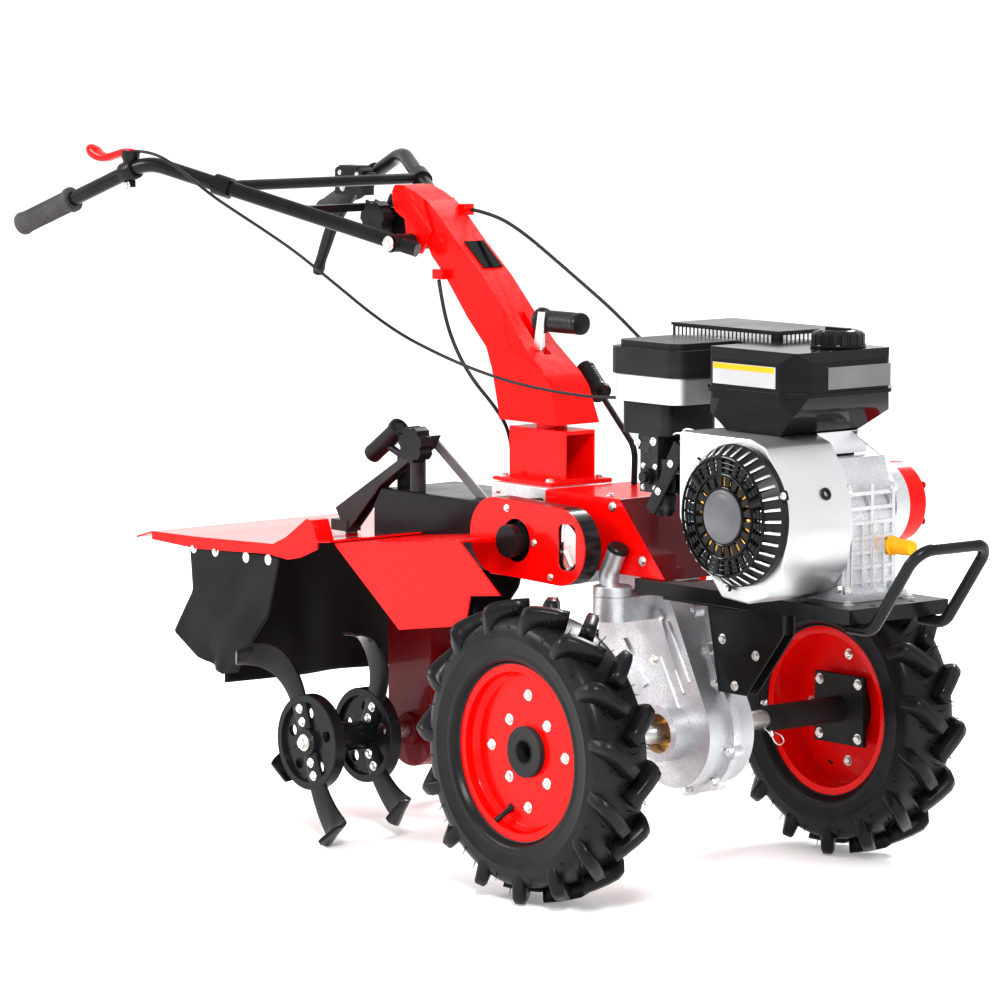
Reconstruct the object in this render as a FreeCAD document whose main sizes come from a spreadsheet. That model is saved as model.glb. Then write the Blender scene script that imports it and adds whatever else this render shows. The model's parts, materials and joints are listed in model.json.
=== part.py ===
"""Walk-behind rotary tiller: two lugged drive wheels, open engine in front, tined rotor behind.

Millimetres. +X is forward, +Y is the machine's left, +Z is up. Everything is laid out from the
point on the ground below the wheel axle, and each sub-part's Placement then moves it forward by
axle_forward, so that the origin is on the ground below the middle of the whole machine.
"""
import FreeCAD, Part
import Sketcher
import math
import os

Vector = FreeCAD.Vector
Rotation = FreeCAD.Rotation
Placement = FreeCAD.Placement

# ------------------------------------------------------------------ driving dimensions
DIMENSIONS = {
    # frame and fits
    "axle_forward": 391.0,      # wheel axle ahead of the origin
    "shaft_play": 0.1,          # radial clearance of a shaft in its bore
    "seat_gap": 0.3,            # gap between a piece and what carries it
    "sheet_wall": 3.0,          # sheet metal
    # wheels
    "track": 641.0,             # between the tyres' middle planes
    "wheel_radius": 232.0,      # to the lugs' tips
    "tyre_half_width": 54.0,
    "tyre_wall": 9.0,
    "lug_height": 25.0,         # from the carcass crown to the lugs' tips
    "lug_width": 24.0,
    "lug_lean": 43.0,           # how far a lug trails from the middle plane to the shoulder
    "lug_stand_out": 3.0,       # how far the lugs stand out of the flanks
    "lug_skirt": 15.0,          # how far they run down the flanks, from the crown
    "flank_drop": 33.0,         # from the crown to the tyre's widest place
    "lug_phase": 1.2,           # degrees from the top to the first lug of the left row
    "rim_radius": 138.0,        # outside of the rim's flanges
    "rim_half_width": 38.0,
    "rim_wall": 4.0,
    "flange_height": 11.0,      # rim flange above the bead seat
    "disc_offset": 14.0,        # wheel disc outside the tyre's middle plane
    "boss_radius": 39.0,        # outer boss of the hub
    "boss_height": 10.0,
    "boss_bore": 17.0,
    "hub_plate_side": 112.0,    # square flange bolted to the disc
    "hub_plate": 8.0,
    "spacer_radius": 52.0,      # round spacer between the plate and the disc
    "sleeve_radius": 21.0,      # hub sleeve over the half shaft
    "sleeve_start": 150.0,      # inner end of the sleeve, from the middle plane
    "shaft_radius": 15.0,
    "shaft_start": 22.0,        # inner end of the half shaft, inside the case
    "shaft_end": 262.0,
    # gear case
    "case_half": 46.0,          # half width of the two cast halves
    "foot_radius": 88.0,        # round foot about the wheel axle
    "head_radius": 72.0,
    "head_x": -104.0,           # middle of the case head, from the axle
    "head_z": 400.0,
    "brow_x": -40.0,            # forward shoulder of the case
    "brow_z": 418.0,
    "brow_radius": 40.0,
    "case_seat": 470.0,         # flat seat for the gearbox
    "socket_x": -196.0,         # rear socket for the drive tube
    "socket_z": 352.0,
    "socket_half": 26.0,
    "mouth_depth": 26.0,        # recess in the end of each axle boss
    "neck_x": -72.0,            # oil filler
    "neck_y": -106.0,
    "neck_low": 404.0,
    "neck_seat": 442.0,
    "neck_boss": 30.0,
    "neck_flange": 16.0,
    "neck_pipe": 15.5,          # outer radius of the filler pipe
    "split_flange": 12.0,       # how far the bolted split flange stands out
    "split_half": 7.0,
    "ear_half": 9.0,            # half thickness of the split flange's ears
    "case_boss_radius": 44.0,
    "case_boss_length": 30.0,
    "case_boss_wall": 13.0,     # metal round the recess in each boss
    "flange_boss": 13.0,        # round ears of the split flange, for its bolts
    "case_rib": 9.0,            # raised ribs on the case's flanks
    # gearbox and red chassis frame above the case
    "box_half": 80.0,
    "box_rear": -396.0,
    "box_front": -150.0,
    "box_low": 446.0,
    "frame_half": 90.0,
    "frame_rear": -252.0,
    "frame_front_top": -74.0,
    "frame_front_low": 34.0,
    "frame_top": 591.0,
    "frame_low": 478.0,
    # engine tray
    "tray_rear": -24.0,
    "tray_front": 452.0,
    "tray_half": 102.0,
    "tray_top": 474.0,
    "tray_depth": 22.0,
    "rail_width": 30.0,
    "front_hole": 5.5,          # radius of the bolt holes in the front member
    "front_hole_y": 40.0,
    "deck_rear": 62.0,          # rear edge of the engine plate
    "bracket_rear": 40.0,       # black bracket between case and tray
    "bracket_front": 214.0,
    "bracket_low": 300.0,
    "bracket_wall": 4.0,
    "bumper_half": 75.0,
    "bumper_radius": 9.0,
    "bumper_foot": 472.0,       # where the legs turn up, in front of the tray
    "bumper_x": 565.0,
    "bumper_z": 570.0,
    # post and column
    "post_flange": 6.0,
    "post_flange_half": 64.0,
    "post_half": 31.0,
    "post_length": 138.0,
    "post_front": -272.0,
    "post_height": 79.0,
    "lever_half": 7.0,          # half width of the gear lever's bar
    "gear_lever_x": -369.0,
    "gear_grip_z": 846.0,
    "gear_grip_radius": 17.0,
    "gear_grip_length": 100.0,
    "neck_gap": 10.0,           # spacer between post and column
    "column_half_top": 30.0,
    "column_half_low": 44.0,
    "column_knee": 114.0,       # above the foot, where the sides start to close in
    "column_shoulder": 165.0,   # above the foot, where they are upright again
    "column_peak": 1050.0,
    # belt cover
    "belt_rear_x": -292.0,
    "belt_rear_z": 520.0,
    "belt_front_x": -136.0,
    "belt_front_z": 516.0,
    "belt_radius": 60.5,
    "belt_near": -160.0,
    "belt_back": -126.0,
    "pulley_x": -240.0,
    "pulley_z": 517.0,
    "pulley_hole": 34.0,
    "pulley_radius": 44.0,
    "pulley_shaft": 14.0,
    "slot_x": -118.0,
    "slot_z": 517.0,
    "slot_half_x": 21.0,        # window beside the pulley
    "slot_half_z": 36.0,
    "slot_corner": 12.0,
    "hub_stand_out": 20.0,      # pulley hub in front of the cover
    # handlebar
    "tube_radius": 12.5,
    "grip_radius": 18.5,
    "grip_length": 132.0,
    "grip_collar": 8.0,
    "clamp_wall": 5.0,
    "clamp_length": 30.0,
    "lever_post": 10.0,
    "grip_x": -1345.0,
    "grip_y": 325.0,
    "grip_z": 969.0,
    "bend_x": -1058.0,
    "bend_y": 271.0,
    "bend_z": 1082.0,
    "bend_radius": 90.0,
    "pivot_x": -648.0,
    "pivot_bolt": 6.0,
    "boss_reach": 15.0,         # radius of the yoke's bosses on the pivot bolt
    "lock_x": -755.0,           # lock bolt, on the line of the bars
    "nose_x": -593.0,           # where the straight run points
    "nose_y": 42.5,
    "nose_z": 942.0,
    "bar_front": -616.0,        # front end of each tube
    "ear_wall": 4.0,
    "pivot_reach": 88.0,
    "quadrant_half": 2.0,
    "quadrant_rim": 16.0,       # metal outside the lock bolt's circle
    "lock_cheek": 5.5,          # from the quadrant to the plates on both its sides
    "lock_plate": 4.0,
    "lock_bolt": 5.0,
    "lock_play": 0.6,
    "crossbar_radius": 9.0,
    "crossbar_x": -933.0,
    # engine
    "crank_x": 310.0,
    "crank_z": 609.0,
    "cowl_front_y": -190.0,     # outside face of the blower cowl
    "cowl_back_y": -56.0,
    "starter_radius": 106.0,
    "starter_depth": 34.0,
    "crankcase_half_y": 55.0,
    "crankcase_front": 78.0,    # front face ahead of the crankshaft
    "crankcase_rear": 118.0,    # rear face behind the crankshaft
    "crankcase_slope": 86.0,    # height of the front face's sloping top
    "output_forward": 14.0,     # output shaft ahead of the crankshaft
    "output_face": 82.0,        # where the output cover sits
    "cover_depth": 45.0,
    "rib_pitch": 22.0,          # ribs on the crankcase's front
    "barrel_height": 151.0,     # cylinder's middle above the crankcase's foot
    "fin_reach": 10.0,          # how far the fins stand out
    "output_boss": 66.0,
    "cover_radius": 61.0,
    "fin_wall": 3.0,
    "fin_pitch": 10.0,
    "block_height": 212.0,      # crankcase from its feet to its top
    "tank_rear": 185.0,
    "tank_front": 400.0,
    "tank_right": -165.0,
    "tank_left": 55.0,
    "tank_low": 724.0,
    "tank_seam": 788.0,
    "tank_high": 850.0,
    "tank_corner": 30.0,        # bevelled corners
    "tank_bevel": 14.0,         # along the top edges
    "tank_taper": 32.0,         # how far the lower half draws in
    "seam_lip": 3.0,
    "guard_wall": 4.0,
    "guard_clear": 8.0,         # between the muffler and its guard
    "slot_band": 22.0,          # height of the guard's row of slots
    "cap_radius": 40.0,
    "cap_x": 338.0,
    "cap_y": -20.0,
    "cap_height": 24.0,
    # tiller unit
    "rotor_x": -655.0,
    "rotor_z": 154.6,
    "rotor_tip": 190.0,         # radius of the tine tips
    "rotor_shaft": 14.0,
    "rotor_half": 262.0,
    "disc_radius": 78.0,
    "disc_outer_y": 245.0,
    "disc_inner_y": 130.0,
    "leg_half": 40.0,
    "leg_radius": 62.0,
    "tine_wall": 7.0,
    "tine_width": 44.0,
    "tine_sweep": 22.0,         # degrees the stem leans back
    "tine_reach": 56.0,         # length of the bent end
    "disc_wall": 8.0,
    "leg_rear": -712.0,
    "leg_front": -600.0,
    "leg_tube_z": 262.0,
    "drive_tube": 20.0,         # radius of the slanting tube
    "housing_rear": -700.0,
    "housing_half": 80.0,
    "housing_low": 446.0,
    "housing_top": 556.0,
    "deck_back": -586.0,
    "deck_back_z": 487.0,
    "deck_fore": -270.0,
    "deck_fore_z": 520.0,
    "cut_back": -366.0,         # room in the deck for the belt cover
    "cut_half": 168.0,
    "strap_width": 30.0,        # strap that carries the deck under the gearbox
    "cheek_drop": 11.0,
    "shield_half": 250.0,
    "hood_half": 270.0,
    "hood_rear": -1095.0,
    "lip_width": 37.0,          # fold along the hood's rear edge
    "lap_reach": 14.0,          # how far the hood laps over the deck
    "hood_mid_x": -934.0,
    "hood_mid_z": 466.0,
    "hood_knee_x": -723.0,
    "hood_knee_z": 474.0,
    "crest_top": 523.0,         # raised cheeks at the hood's front
    "crest_width": 34.0,
    "arm_half": 12.0,           # half width of the depth arm's channel
    "knob_radius": 30.0,
    "knob_depth": 26.0,
    "knob_stem": 8.0,
    "skirt_x": -862.0,
    "skirt_low": 228.0,
    "skirt_wall": 4.0,
}

doc = FreeCAD.newDocument("RotaryTiller")
sheet = doc.addObject("Spreadsheet::Sheet", "Dims")
for row, (alias, number) in enumerate(DIMENSIONS.items(), start=1):
    sheet.set("A%d" % row, alias)
    sheet.set("B%d" % row, str(number))
    sheet.setAlias("B%d" % row, alias)
doc.recompute()

SUB_PARTS = []

# ------------------------------------------------------------------ counts and small details
PARALLEL = 0.999            # cosine above which two directions count as one
PRESS_PLAY = 0.05           # radial gap of what is clamped or pressed on a tube
TYRE_FACETS = 45            # flat facets round a tyre
LUGS = 15                   # on each half of a tyre's tread
STARTER_RINGS = ((44.0, 59.0, 20), (66.0, 86.0, 28))    # slots: from, to and how many
CAP_FLUTES = 18
FILLER_ROUTE = ((-5, 6), (-10, 32), (12, 72))       # x and z from the middle of its flange
KNOB_FLUTES = 7
DISC_HOLES = 5              # in each of the rotor's discs
BAND_SLOT = 6.0             # slots of the muffler's guard
BAND_PITCH = 12.0


# ------------------------------------------------------------------ sizes with their formulas
class Size:
    """A length that keeps its formula, so one sum gives both the number and the expression."""

    def __init__(self, value, text=None):
        self.value = float(value)
        self.text = repr(self.value) if text is None else text

    def _joined(self, other, sign, value):
        return Size(value, "(%s %s %s)" % (self.text, sign, other.text))

    def __add__(self, other):
        other = as_size(other)
        return self._joined(other, "+", self.value + other.value)

    def __sub__(self, other):
        other = as_size(other)
        return self._joined(other, "-", self.value - other.value)

    def __mul__(self, other):
        other = as_size(other)
        return self._joined(other, "*", self.value * other.value)

    def __truediv__(self, other):
        other = as_size(other)
        return self._joined(other, "/", self.value / other.value)

    def __neg__(self):
        return Size(-self.value, "(-1 * %s)" % self.text)

    def __radd__(self, other):
        return as_size(other) + self

    def __rsub__(self, other):
        return as_size(other) - self

    def __rmul__(self, other):
        return as_size(other) * self

    def __float__(self):
        return self.value


def as_size(number):
    return number if isinstance(number, Size) else Size(number)


class SheetSizes:
    """Gives each cell of the sheet as a Size by its alias."""

    def __getattr__(self, alias):
        return Size(sheet.get(alias), "Dims.%s" % alias)


D = SheetSizes()


def bind(obj, path, size):
    """Ties a property to its formula."""
    obj.setExpression(path, as_size(size).text)


def keep(obj, label, forward=0.0):
    """Makes an object one of the sub-parts: its Label, its Placement, its place in the list."""
    obj.Label = label
    bind(obj, ".Placement.Base.x", D.axle_forward + forward)
    SUB_PARTS.append(obj)
    return obj


def vector(x, y, z):
    return Vector(float(x), float(y), float(z))


# ------------------------------------------------------------------ bodies from sketches
NORMAL_SIGN = {"XY_Plane": 1.0, "XZ_Plane": -1.0, "YZ_Plane": 1.0}


def new_body(name):
    return doc.addObject("PartDesign::Body", name)


def sketch_on(body, role, offset=0.0):
    """A sketch on one of the body's own planes, moved by offset along the global axis."""
    plane = [feature for feature in body.Origin.OriginFeatures if feature.Role == role][0]
    sketch = body.newObject("Sketcher::SketchObject", body.Name + "_sketch")
    sketch.AttachmentSupport = (plane, [""])
    sketch.MapMode = "FlatFace"
    bind(sketch, ".AttachmentOffset.Base.z", as_size(offset) * NORMAL_SIGN[role])
    return sketch


def fix_point(sketch, geometry, corner, point):
    """Holds one point of the sketch at its two sizes."""
    for kind, size in zip(("DistanceX", "DistanceY"), point):
        size = as_size(size)
        number = sketch.addConstraint(
            Sketcher.Constraint(kind, -1, 1, geometry, corner, size.value))
        sketch.setExpression("Constraints[%d]" % number, size.text)


def add_outline(sketch, points):
    """A closed outline of straight edges through the points."""
    first = sketch.GeometryCount
    corners = [Vector(float(a), float(b), 0.0) for a, b in points]
    for start, end in zip(corners, corners[1:] + corners[:1]):
        sketch.addGeometry(Part.LineSegment(start, end), False)
    for index, point in enumerate(points):
        following = first + (index + 1) % len(points)
        sketch.addConstraint(Sketcher.Constraint("Coincident", first + index, 2, following, 1))
        fix_point(sketch, first + index, 1, point)


def add_circle(sketch, centre, radius):
    radius = as_size(radius)
    middle = Vector(float(centre[0]), float(centre[1]), 0.0)
    index = sketch.addGeometry(Part.Circle(middle, Vector(0, 0, 1), radius.value), False)
    fix_point(sketch, index, 3, centre)
    number = sketch.addConstraint(Sketcher.Constraint("Radius", index, radius.value))
    sketch.setExpression("Constraints[%d]" % number, radius.text)


def pad(body, role, points, low, high, circles=()):
    """A slab of the outline between two planes, with round openings through it."""
    low, high = as_size(low), as_size(high)
    sketch = sketch_on(body, role, high if role == "XZ_Plane" else low)
    add_outline(sketch, points)
    for centre, radius in circles:
        add_circle(sketch, centre, radius)
    feature = body.newObject("PartDesign::Pad", body.Name + "_pad")
    feature.Profile = sketch
    bind(feature, "Length", high - low)
    return feature


def cut_through(body, role, points):
    """An opening through the whole body, both ways from its plane."""
    sketch = sketch_on(body, role)
    add_outline(sketch, points)
    feature = body.newObject("PartDesign::Pocket", body.Name + "_pocket")
    feature.Profile = sketch
    feature.Type = "ThroughAll"
    feature.Midplane = True
    return feature


def turn(body, points):
    """A ring or disc turned about the Y axis from its outline of (across, radius)."""
    sketch = sketch_on(body, "YZ_Plane")
    add_outline(sketch, points)
    feature = body.newObject("PartDesign::Revolution", body.Name + "_turned")
    feature.Profile = sketch
    feature.ReferenceAxis = (sketch, ["H_Axis"])
    feature.Angle = 360.0
    return feature


def round_edges(body, direction, radius):
    """Rounds the straight edges that run along a direction."""
    doc.recompute()
    base = body.Tip
    names = []
    for number, edge in enumerate(base.Shape.Edges, start=1):
        straight = edge.Curve.TypeId == "Part::GeomLine"
        if straight and abs(edge.tangentAt(edge.FirstParameter).dot(direction)) > PARALLEL:
            names.append("Edge%d" % number)
    fillet = body.newObject("PartDesign::Fillet", body.Name + "_fillet")
    fillet.Base = (base, names)
    bind(fillet, "Radius", radius)
    doc.recompute()
    return fillet


# ------------------------------------------------------------------ primitives and booleans
AXES = {"X": Rotation(Vector(0, 1, 0), 90), "Y": Rotation(Vector(1, 0, 0), -90), "Z": Rotation()}


def place(obj, corner):
    for path, size in zip(("x", "y", "z"), corner):
        bind(obj, ".Placement.Base." + path, size)


def block(name, x, y, z):
    """A box given by its two ends along each axis."""
    box = doc.addObject("Part::Box", name)
    for length, (low, high) in zip(("Length", "Width", "Height"), (x, y, z)):
        bind(box, length, as_size(high) - as_size(low))
    place(box, (x[0], y[0], z[0]))
    return box


def rod(name, axis, start, length, radius):
    """A cylinder from its start along an axis."""
    bar = doc.addObject("Part::Cylinder", name)
    bind(bar, "Radius", radius)
    bind(bar, "Height", length)
    bar.Placement = Placement(Vector(), AXES[axis])
    place(bar, start)
    return bar


def joined(name, pieces):
    fuse = doc.addObject("Part::MultiFuse", name)
    fuse.Shapes = pieces
    fuse.Refine = True
    return fuse


def cut_from(name, base, tool):
    cut = doc.addObject("Part::Cut", name)
    cut.Base = base
    cut.Tool = tool
    cut.Refine = True
    return cut


def set_shape(name, shape):
    """A free shape built by Part's own functions."""
    feature = doc.addObject("Part::Feature", name)
    feature.Shape = shape
    return feature


# ------------------------------------------------------------------ free shapes
def bent_path(points, radii):
    """Straight runs joined by tangent arcs of the given radii, one for each inner point."""
    edges = []
    start = points[0]
    for before, point, after, radius in zip(points, points[1:], points[2:], radii):
        inward = (before - point).normalize()
        outward = (after - point).normalize()
        half = inward.getAngle(outward) / 2
        reach = radius / math.tan(half)
        centre = point + (inward + outward).normalize() * (radius / math.sin(half))
        first = point + inward * reach
        last = point + outward * reach
        middle = centre + (point - centre).normalize() * radius
        edges.append(Part.LineSegment(start, first).toShape())
        edges.append(Part.Arc(first, middle, last).toShape())
        start = last
    edges.append(Part.LineSegment(start, points[-1]).toShape())
    return Part.Wire(edges)


def swept_rod(points, radii, radius):
    """A round bar along a bent path."""
    path = bent_path(points, radii)
    direction = points[1] - points[0]
    profile = Part.Wire(Part.Circle(points[0], direction, radius).toShape())
    return path.makePipeShell([profile], True, True)


def two_circle_face(first, first_radius, second, second_radius, y):
    """The outline about two circles in a plane across Y, with their outer tangents."""
    across = second - first
    length = across.Length
    along = across.normalize()
    side = Vector(-along.z, 0, along.x)
    lean = (first_radius - second_radius) / length
    rise = math.sqrt(1 - lean * lean)

    def touch(centre, radius, sign):
        return centre + (along * lean + side * rise * sign) * radius

    lift = Vector(0, y, 0)
    a, b = touch(first, first_radius, 1) + lift, touch(second, second_radius, 1) + lift
    c, d = touch(second, second_radius, -1) + lift, touch(first, first_radius, -1) + lift
    far = second + along * second_radius + lift
    near = first - along * first_radius + lift
    edges = [Part.LineSegment(a, b).toShape(), Part.Arc(b, far, c).toShape(),
             Part.LineSegment(c, d).toShape(), Part.Arc(d, near, a).toShape()]
    return Part.Face(Part.Wire(edges))


def two_circle_slab(first, first_radius, second, second_radius, low, high):
    face = two_circle_face(first, first_radius, second, second_radius, low)
    return face.extrude(Vector(0, high - low, 0))


def cylinder_y(x, z, radius, low, high):
    return Part.makeCylinder(radius, high - low, Vector(x, low, z), Vector(0, 1, 0))


def slanted_bar(start, end, depth, low, high):
    """A flat bar between two points of a plane across Y, depth being its size in that plane."""
    along = (end - start).normalize()
    lift = Vector(-along.z, 0, along.x) * (depth / 2)
    corners = [start + lift, end + lift, end - lift, start - lift]
    for corner in corners:
        corner.y = low
    face = Part.Face(Part.makePolygon(corners + corners[:1]))
    return face.extrude(Vector(0, high - low, 0))


def plate_y(outline, low, high):
    """A flat plate across Y from its (x, z) outline."""
    corners = [Vector(float(x), float(low), float(z)) for x, z in outline]
    face = Part.Face(Part.makePolygon(corners + corners[:1]))
    return face.extrude(Vector(0, float(high) - float(low), 0))


# ------------------------------------------------------------------ the handlebar's line
def bar_point(x):
    """A point of the straight run of the left tube at a given X."""
    bend = vector(D.bend_x, D.bend_y, D.bend_z)
    nose = vector(D.nose_x, D.nose_y, D.nose_z)
    return bend + (nose - bend) * ((x - bend.x) / (nose.x - bend.x))


def on_bars(x):
    """X and Z of the bars' line, where the pivot and the lock bolt lie."""
    spot = bar_point(float(x))
    return spot.x, spot.z


def across(point, side):
    return Vector(point.x, side * point.y, point.z)


# ------------------------------------------------------------------ wheels
SIDES = (("right", -1), ("left", 1))


def mirrored(points):
    """The same points on the other side of the middle plane, in the opposite order."""
    return [(-across, up) for across, up in reversed(points)]


def on_axle(body, label, middle=0.0):
    """A turned piece whose own axis is the wheel axle."""
    keep(body, label)
    bind(body, ".Placement.Base.y", middle)
    bind(body, ".Placement.Base.z", D.wheel_radius)


def faceted_ring(profile, facets):
    """A ring of flat facets about the Y axis, from its closed outline of (across, radius)."""
    rings = []
    for index in range(facets):
        angle = 2 * math.pi * index / facets
        rings.append([Vector(radius * math.cos(angle), across, radius * math.sin(angle))
                      for across, radius in profile])
    faces = []
    for ring, following in zip(rings, rings[1:] + rings[:1]):
        corners = zip(ring, ring[1:] + ring[:1], following[1:] + following[:1], following)
        for a, b, c, d in corners:
            faces.append(Part.Face(Part.makePolygon([a, b, c, d, a])))
    shell = Part.Shell(faces)
    shell.sewShape()
    solid = Part.Solid(shell)
    if solid.Volume < 0:
        solid.reverse()
    return solid


def lug_bar(half, flank, crown, side):
    """One lug at the top of the tyre: a slanting bar from the tread's middle over the shoulder."""
    width, lean = float(D.lug_width), float(D.lug_lean) / half
    reach = lean * (half / 2 + width / 6) + width / 2
    tip = math.sqrt(float(D.wheel_radius) ** 2 - reach ** 2)
    knee = crown - float(D.lug_skirt)
    outline = [(-width / 6, crown - width / 3), (-width / 6, tip), (half * 0.8, tip),
               (half, crown), (half, knee), (flank - width / 6, knee)]
    corners = [Vector(-lean * (across - half / 2) - width / 2, side * across, radius)
               for across, radius in outline]
    return Part.Face(Part.makePolygon(corners + corners[:1])).extrude(Vector(width, 0, 0))


def make_tyre(name, side):
    """Carcass of flat facets, open towards the rim, with a row of lugs on each half."""
    upright = math.cos(math.pi / TYRE_FACETS)
    bead = float(D.rim_radius - D.flange_height + D.seat_gap) / upright
    wall = float(D.rim_half_width - D.rim_wall - D.seat_gap)
    half, thick, rim = float(D.tyre_half_width), float(D.tyre_wall), float(D.rim_radius)
    flank, crown = half - float(D.lug_stand_out), float(D.wheel_radius - D.lug_height)
    widest = crown - float(D.flank_drop)
    outside = [(wall, bead), (wall, rim + thick / 2), (flank, widest),
               (flank - thick / 2, crown - thick)]
    inside = [(flank - 2 * thick, crown - 2 * thick), (flank - thick, widest),
              (wall - thick, bead)]
    carcass = faceted_ring(outside + [(0, crown)] + mirrored(outside) + mirrored(inside) + inside,
                           TYRE_FACETS)
    pitch = 360 / LUGS
    lugs = []
    for row, phase in ((1, float(D.lug_phase)), (-1, float(D.lug_phase) + pitch / 2)):
        bar = lug_bar(half, flank, crown, row)
        for index in range(LUGS):
            lugs.append(bar.rotated(Vector(), Vector(0, 1, 0), phase + pitch * index))
    tyre = carcass.fuse(lugs)
    tyre.translate(vector(0, side * D.track.value / 2, D.wheel_radius))
    keep(set_shape("tyre_" + name, tyre), "tyre_" + name)


def make_rim(name, side):
    """Drop of the rim with a flange at each edge and the disc towards the outside."""
    wall, half = D.rim_wall, D.rim_half_width
    seat = D.rim_radius - D.flange_height
    inside, hole = seat - wall, D.boss_radius / 2
    disc_in, disc_out = D.disc_offset - wall / 2, D.disc_offset + wall / 2
    profile = [(half, D.rim_radius), (half - wall, D.rim_radius), (half - wall, seat),
               (wall - half, seat), (wall - half, D.rim_radius), (-half, D.rim_radius),
               (-half, inside), (disc_in, inside), (disc_in, hole), (disc_out, hole),
               (disc_out, inside - 2 * wall), (disc_out + 2 * wall, inside), (half, inside)]
    body = new_body("rim_" + name)
    turn(body, [(side * y, r) for y, r in profile])
    on_axle(body, "rim_" + name, side * D.track / 2)


def make_hub(name, side):
    """Outer boss, square plate on the disc's inner face and the sleeve towards the case."""
    middle = D.track / 2
    disc_in = middle + D.disc_offset - D.rim_wall / 2
    disc_out = disc_in + D.rim_wall
    plate_out = middle - D.rim_wall / 2
    plate_in = plate_out - D.hub_plate
    half_plate = D.hub_plate_side / 2

    def span(low, high):
        return (low, high) if side > 0 else (-high, -low)

    boss = rod("boss_" + name, "Y", (0, span(disc_out, disc_out + D.boss_height)[0], 0),
               D.boss_height, D.boss_radius)
    bore_low = span(D.shaft_end, disc_out + D.boss_height + 1)
    bore = rod("bore_" + name, "Y", (0, bore_low[0], 0),
               disc_out + D.boss_height + 1 - D.shaft_end, D.boss_bore)
    plug = rod("plug_" + name, "Y", (0, span(disc_in, disc_out)[0], 0), D.rim_wall,
               D.boss_radius / 2 - D.seat_gap)
    plate = block("plate_" + name, (-half_plate, half_plate), span(plate_in, plate_out),
                  (-half_plate, half_plate))
    spacer = rod("spacer_" + name, "Y", (0, span(plate_out, disc_in)[0], 0),
                 disc_in - plate_out, D.spacer_radius)
    sleeve = rod("sleeve_" + name, "Y", (0, span(D.sleeve_start, plate_in)[0], 0),
                 plate_in - D.sleeve_start, D.sleeve_radius)
    socket = rod("socket_" + name, "Y", (0, span(D.sleeve_start - 1, D.shaft_end)[0], 0),
                 D.shaft_end - D.sleeve_start + 1, D.shaft_radius + D.shaft_play)
    whole = joined("hub_whole_" + name, [boss, plug, plate, spacer, sleeve])
    hub = cut_from("hub_" + name, whole, joined("hub_bores_" + name, [bore, socket]))
    keep(hub, "hub_" + name)
    bind(hub, ".Placement.Base.z", D.wheel_radius)
    start = span(D.shaft_start, D.shaft_end)[0]
    shaft = rod("half_shaft_" + name, "Y", (0, start, D.wheel_radius),
                D.shaft_end - D.shaft_start, D.shaft_radius)
    keep(shaft, "half_shaft_" + name)


for side_name, side_sign in SIDES:
    make_tyre(side_name, side_sign)
    make_rim(side_name, side_sign)
    make_hub(side_name, side_sign)


# ------------------------------------------------------------------ gear case
def make_gear_case():
    """Two cast halves about the wheel axle and the head shaft, with a bolted split flange."""
    foot = vector(0, 0, D.wheel_radius)
    head = vector(D.head_x, 0, D.head_z)
    brow = vector(D.brow_x, 0, D.brow_z)
    half, rim, split = float(D.case_half), float(D.split_flange), float(D.split_half)
    foot_radius, head_radius = float(D.foot_radius), float(D.head_radius)
    brow_radius = float(D.brow_radius)
    case = two_circle_slab(foot, foot_radius, head, head_radius, -half, half)
    brow_slab = two_circle_slab(foot, foot_radius, brow, brow_radius, -half, half)
    bridge = two_circle_slab(head, brow_radius, brow, brow_radius, -half, half)
    flange = two_circle_slab(foot, foot_radius + rim, brow, brow_radius, -split, split)
    reach = half + float(D.case_boss_length)
    bosses = cylinder_y(0, foot.z, float(D.case_boss_radius), -reach, reach)
    seat_top = float(D.case_seat)
    seat = box_between((D.head_x - head_radius + 12, D.brow_x), (-half, half),
                       (D.head_z, seat_top))
    socket = box_between((D.socket_x, D.head_x), (-D.socket_half, D.socket_half),
                         (D.socket_z - D.socket_half, D.socket_z + D.socket_half))
    neck = Part.makeCylinder(float(D.neck_boss), float(D.neck_seat - D.neck_low),
                             vector(D.neck_x, D.neck_y, D.neck_low), Vector(0, 0, 1))
    arm = box_between((D.neck_x - D.neck_boss, D.neck_x + D.neck_boss), (D.neck_y, 0),
                      (D.neck_low, D.neck_seat))
    rise, ear_half, rib = (brow - foot), float(D.ear_half), float(D.case_rib)
    ears = []
    for lean in (-135, -95, -55, -15):
        spot = foot + Vector(math.cos(math.radians(lean)), 0, math.sin(math.radians(lean))) \
            * (foot_radius + rim / 2)
        ears.append(cylinder_y(spot.x, spot.z, float(D.flange_boss), -ear_half, ear_half))
    forward = Vector(rise.z, 0, -rise.x).normalize()
    for share in (0.35, 0.62, 0.95):
        wide = (foot_radius + rim) * (1 - share) + brow_radius * share - 4
        spot = foot + rise * share + forward * wide
        ears.append(cylinder_y(spot.x, spot.z, float(D.flange_boss), -ear_half, ear_half))
    ribs = []
    for start, end in ((brow + forward * rib, foot + rise * 0.5 + forward * 3 * rib),
                       (head + Vector(-rib, 0, -4 * rib), foot + rise * 0.4 - forward * 5 * rib)):
        ribs.append(slanted_bar(start, end, rib, -half - rib / 2, half + rib / 2))
    case = case.fuse([brow_slab, bridge, flange, bosses, seat, socket, neck, arm] + ears + ribs)
    play = float(D.shaft_radius + D.shaft_play)
    bore = cylinder_y(0, foot.z, play, -reach - 1, reach + 1)
    recess = float(D.case_boss_radius - D.case_boss_wall)
    mouth = float(D.mouth_depth)
    near = cylinder_y(0, foot.z, recess, -reach - 1, -reach + mouth)
    far = cylinder_y(0, foot.z, recess, reach - mouth, reach + 1)
    case = case.cut(bore.fuse([near, far])).removeSplitter()
    keep(set_shape("gear_case", case), "gear_case")


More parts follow.
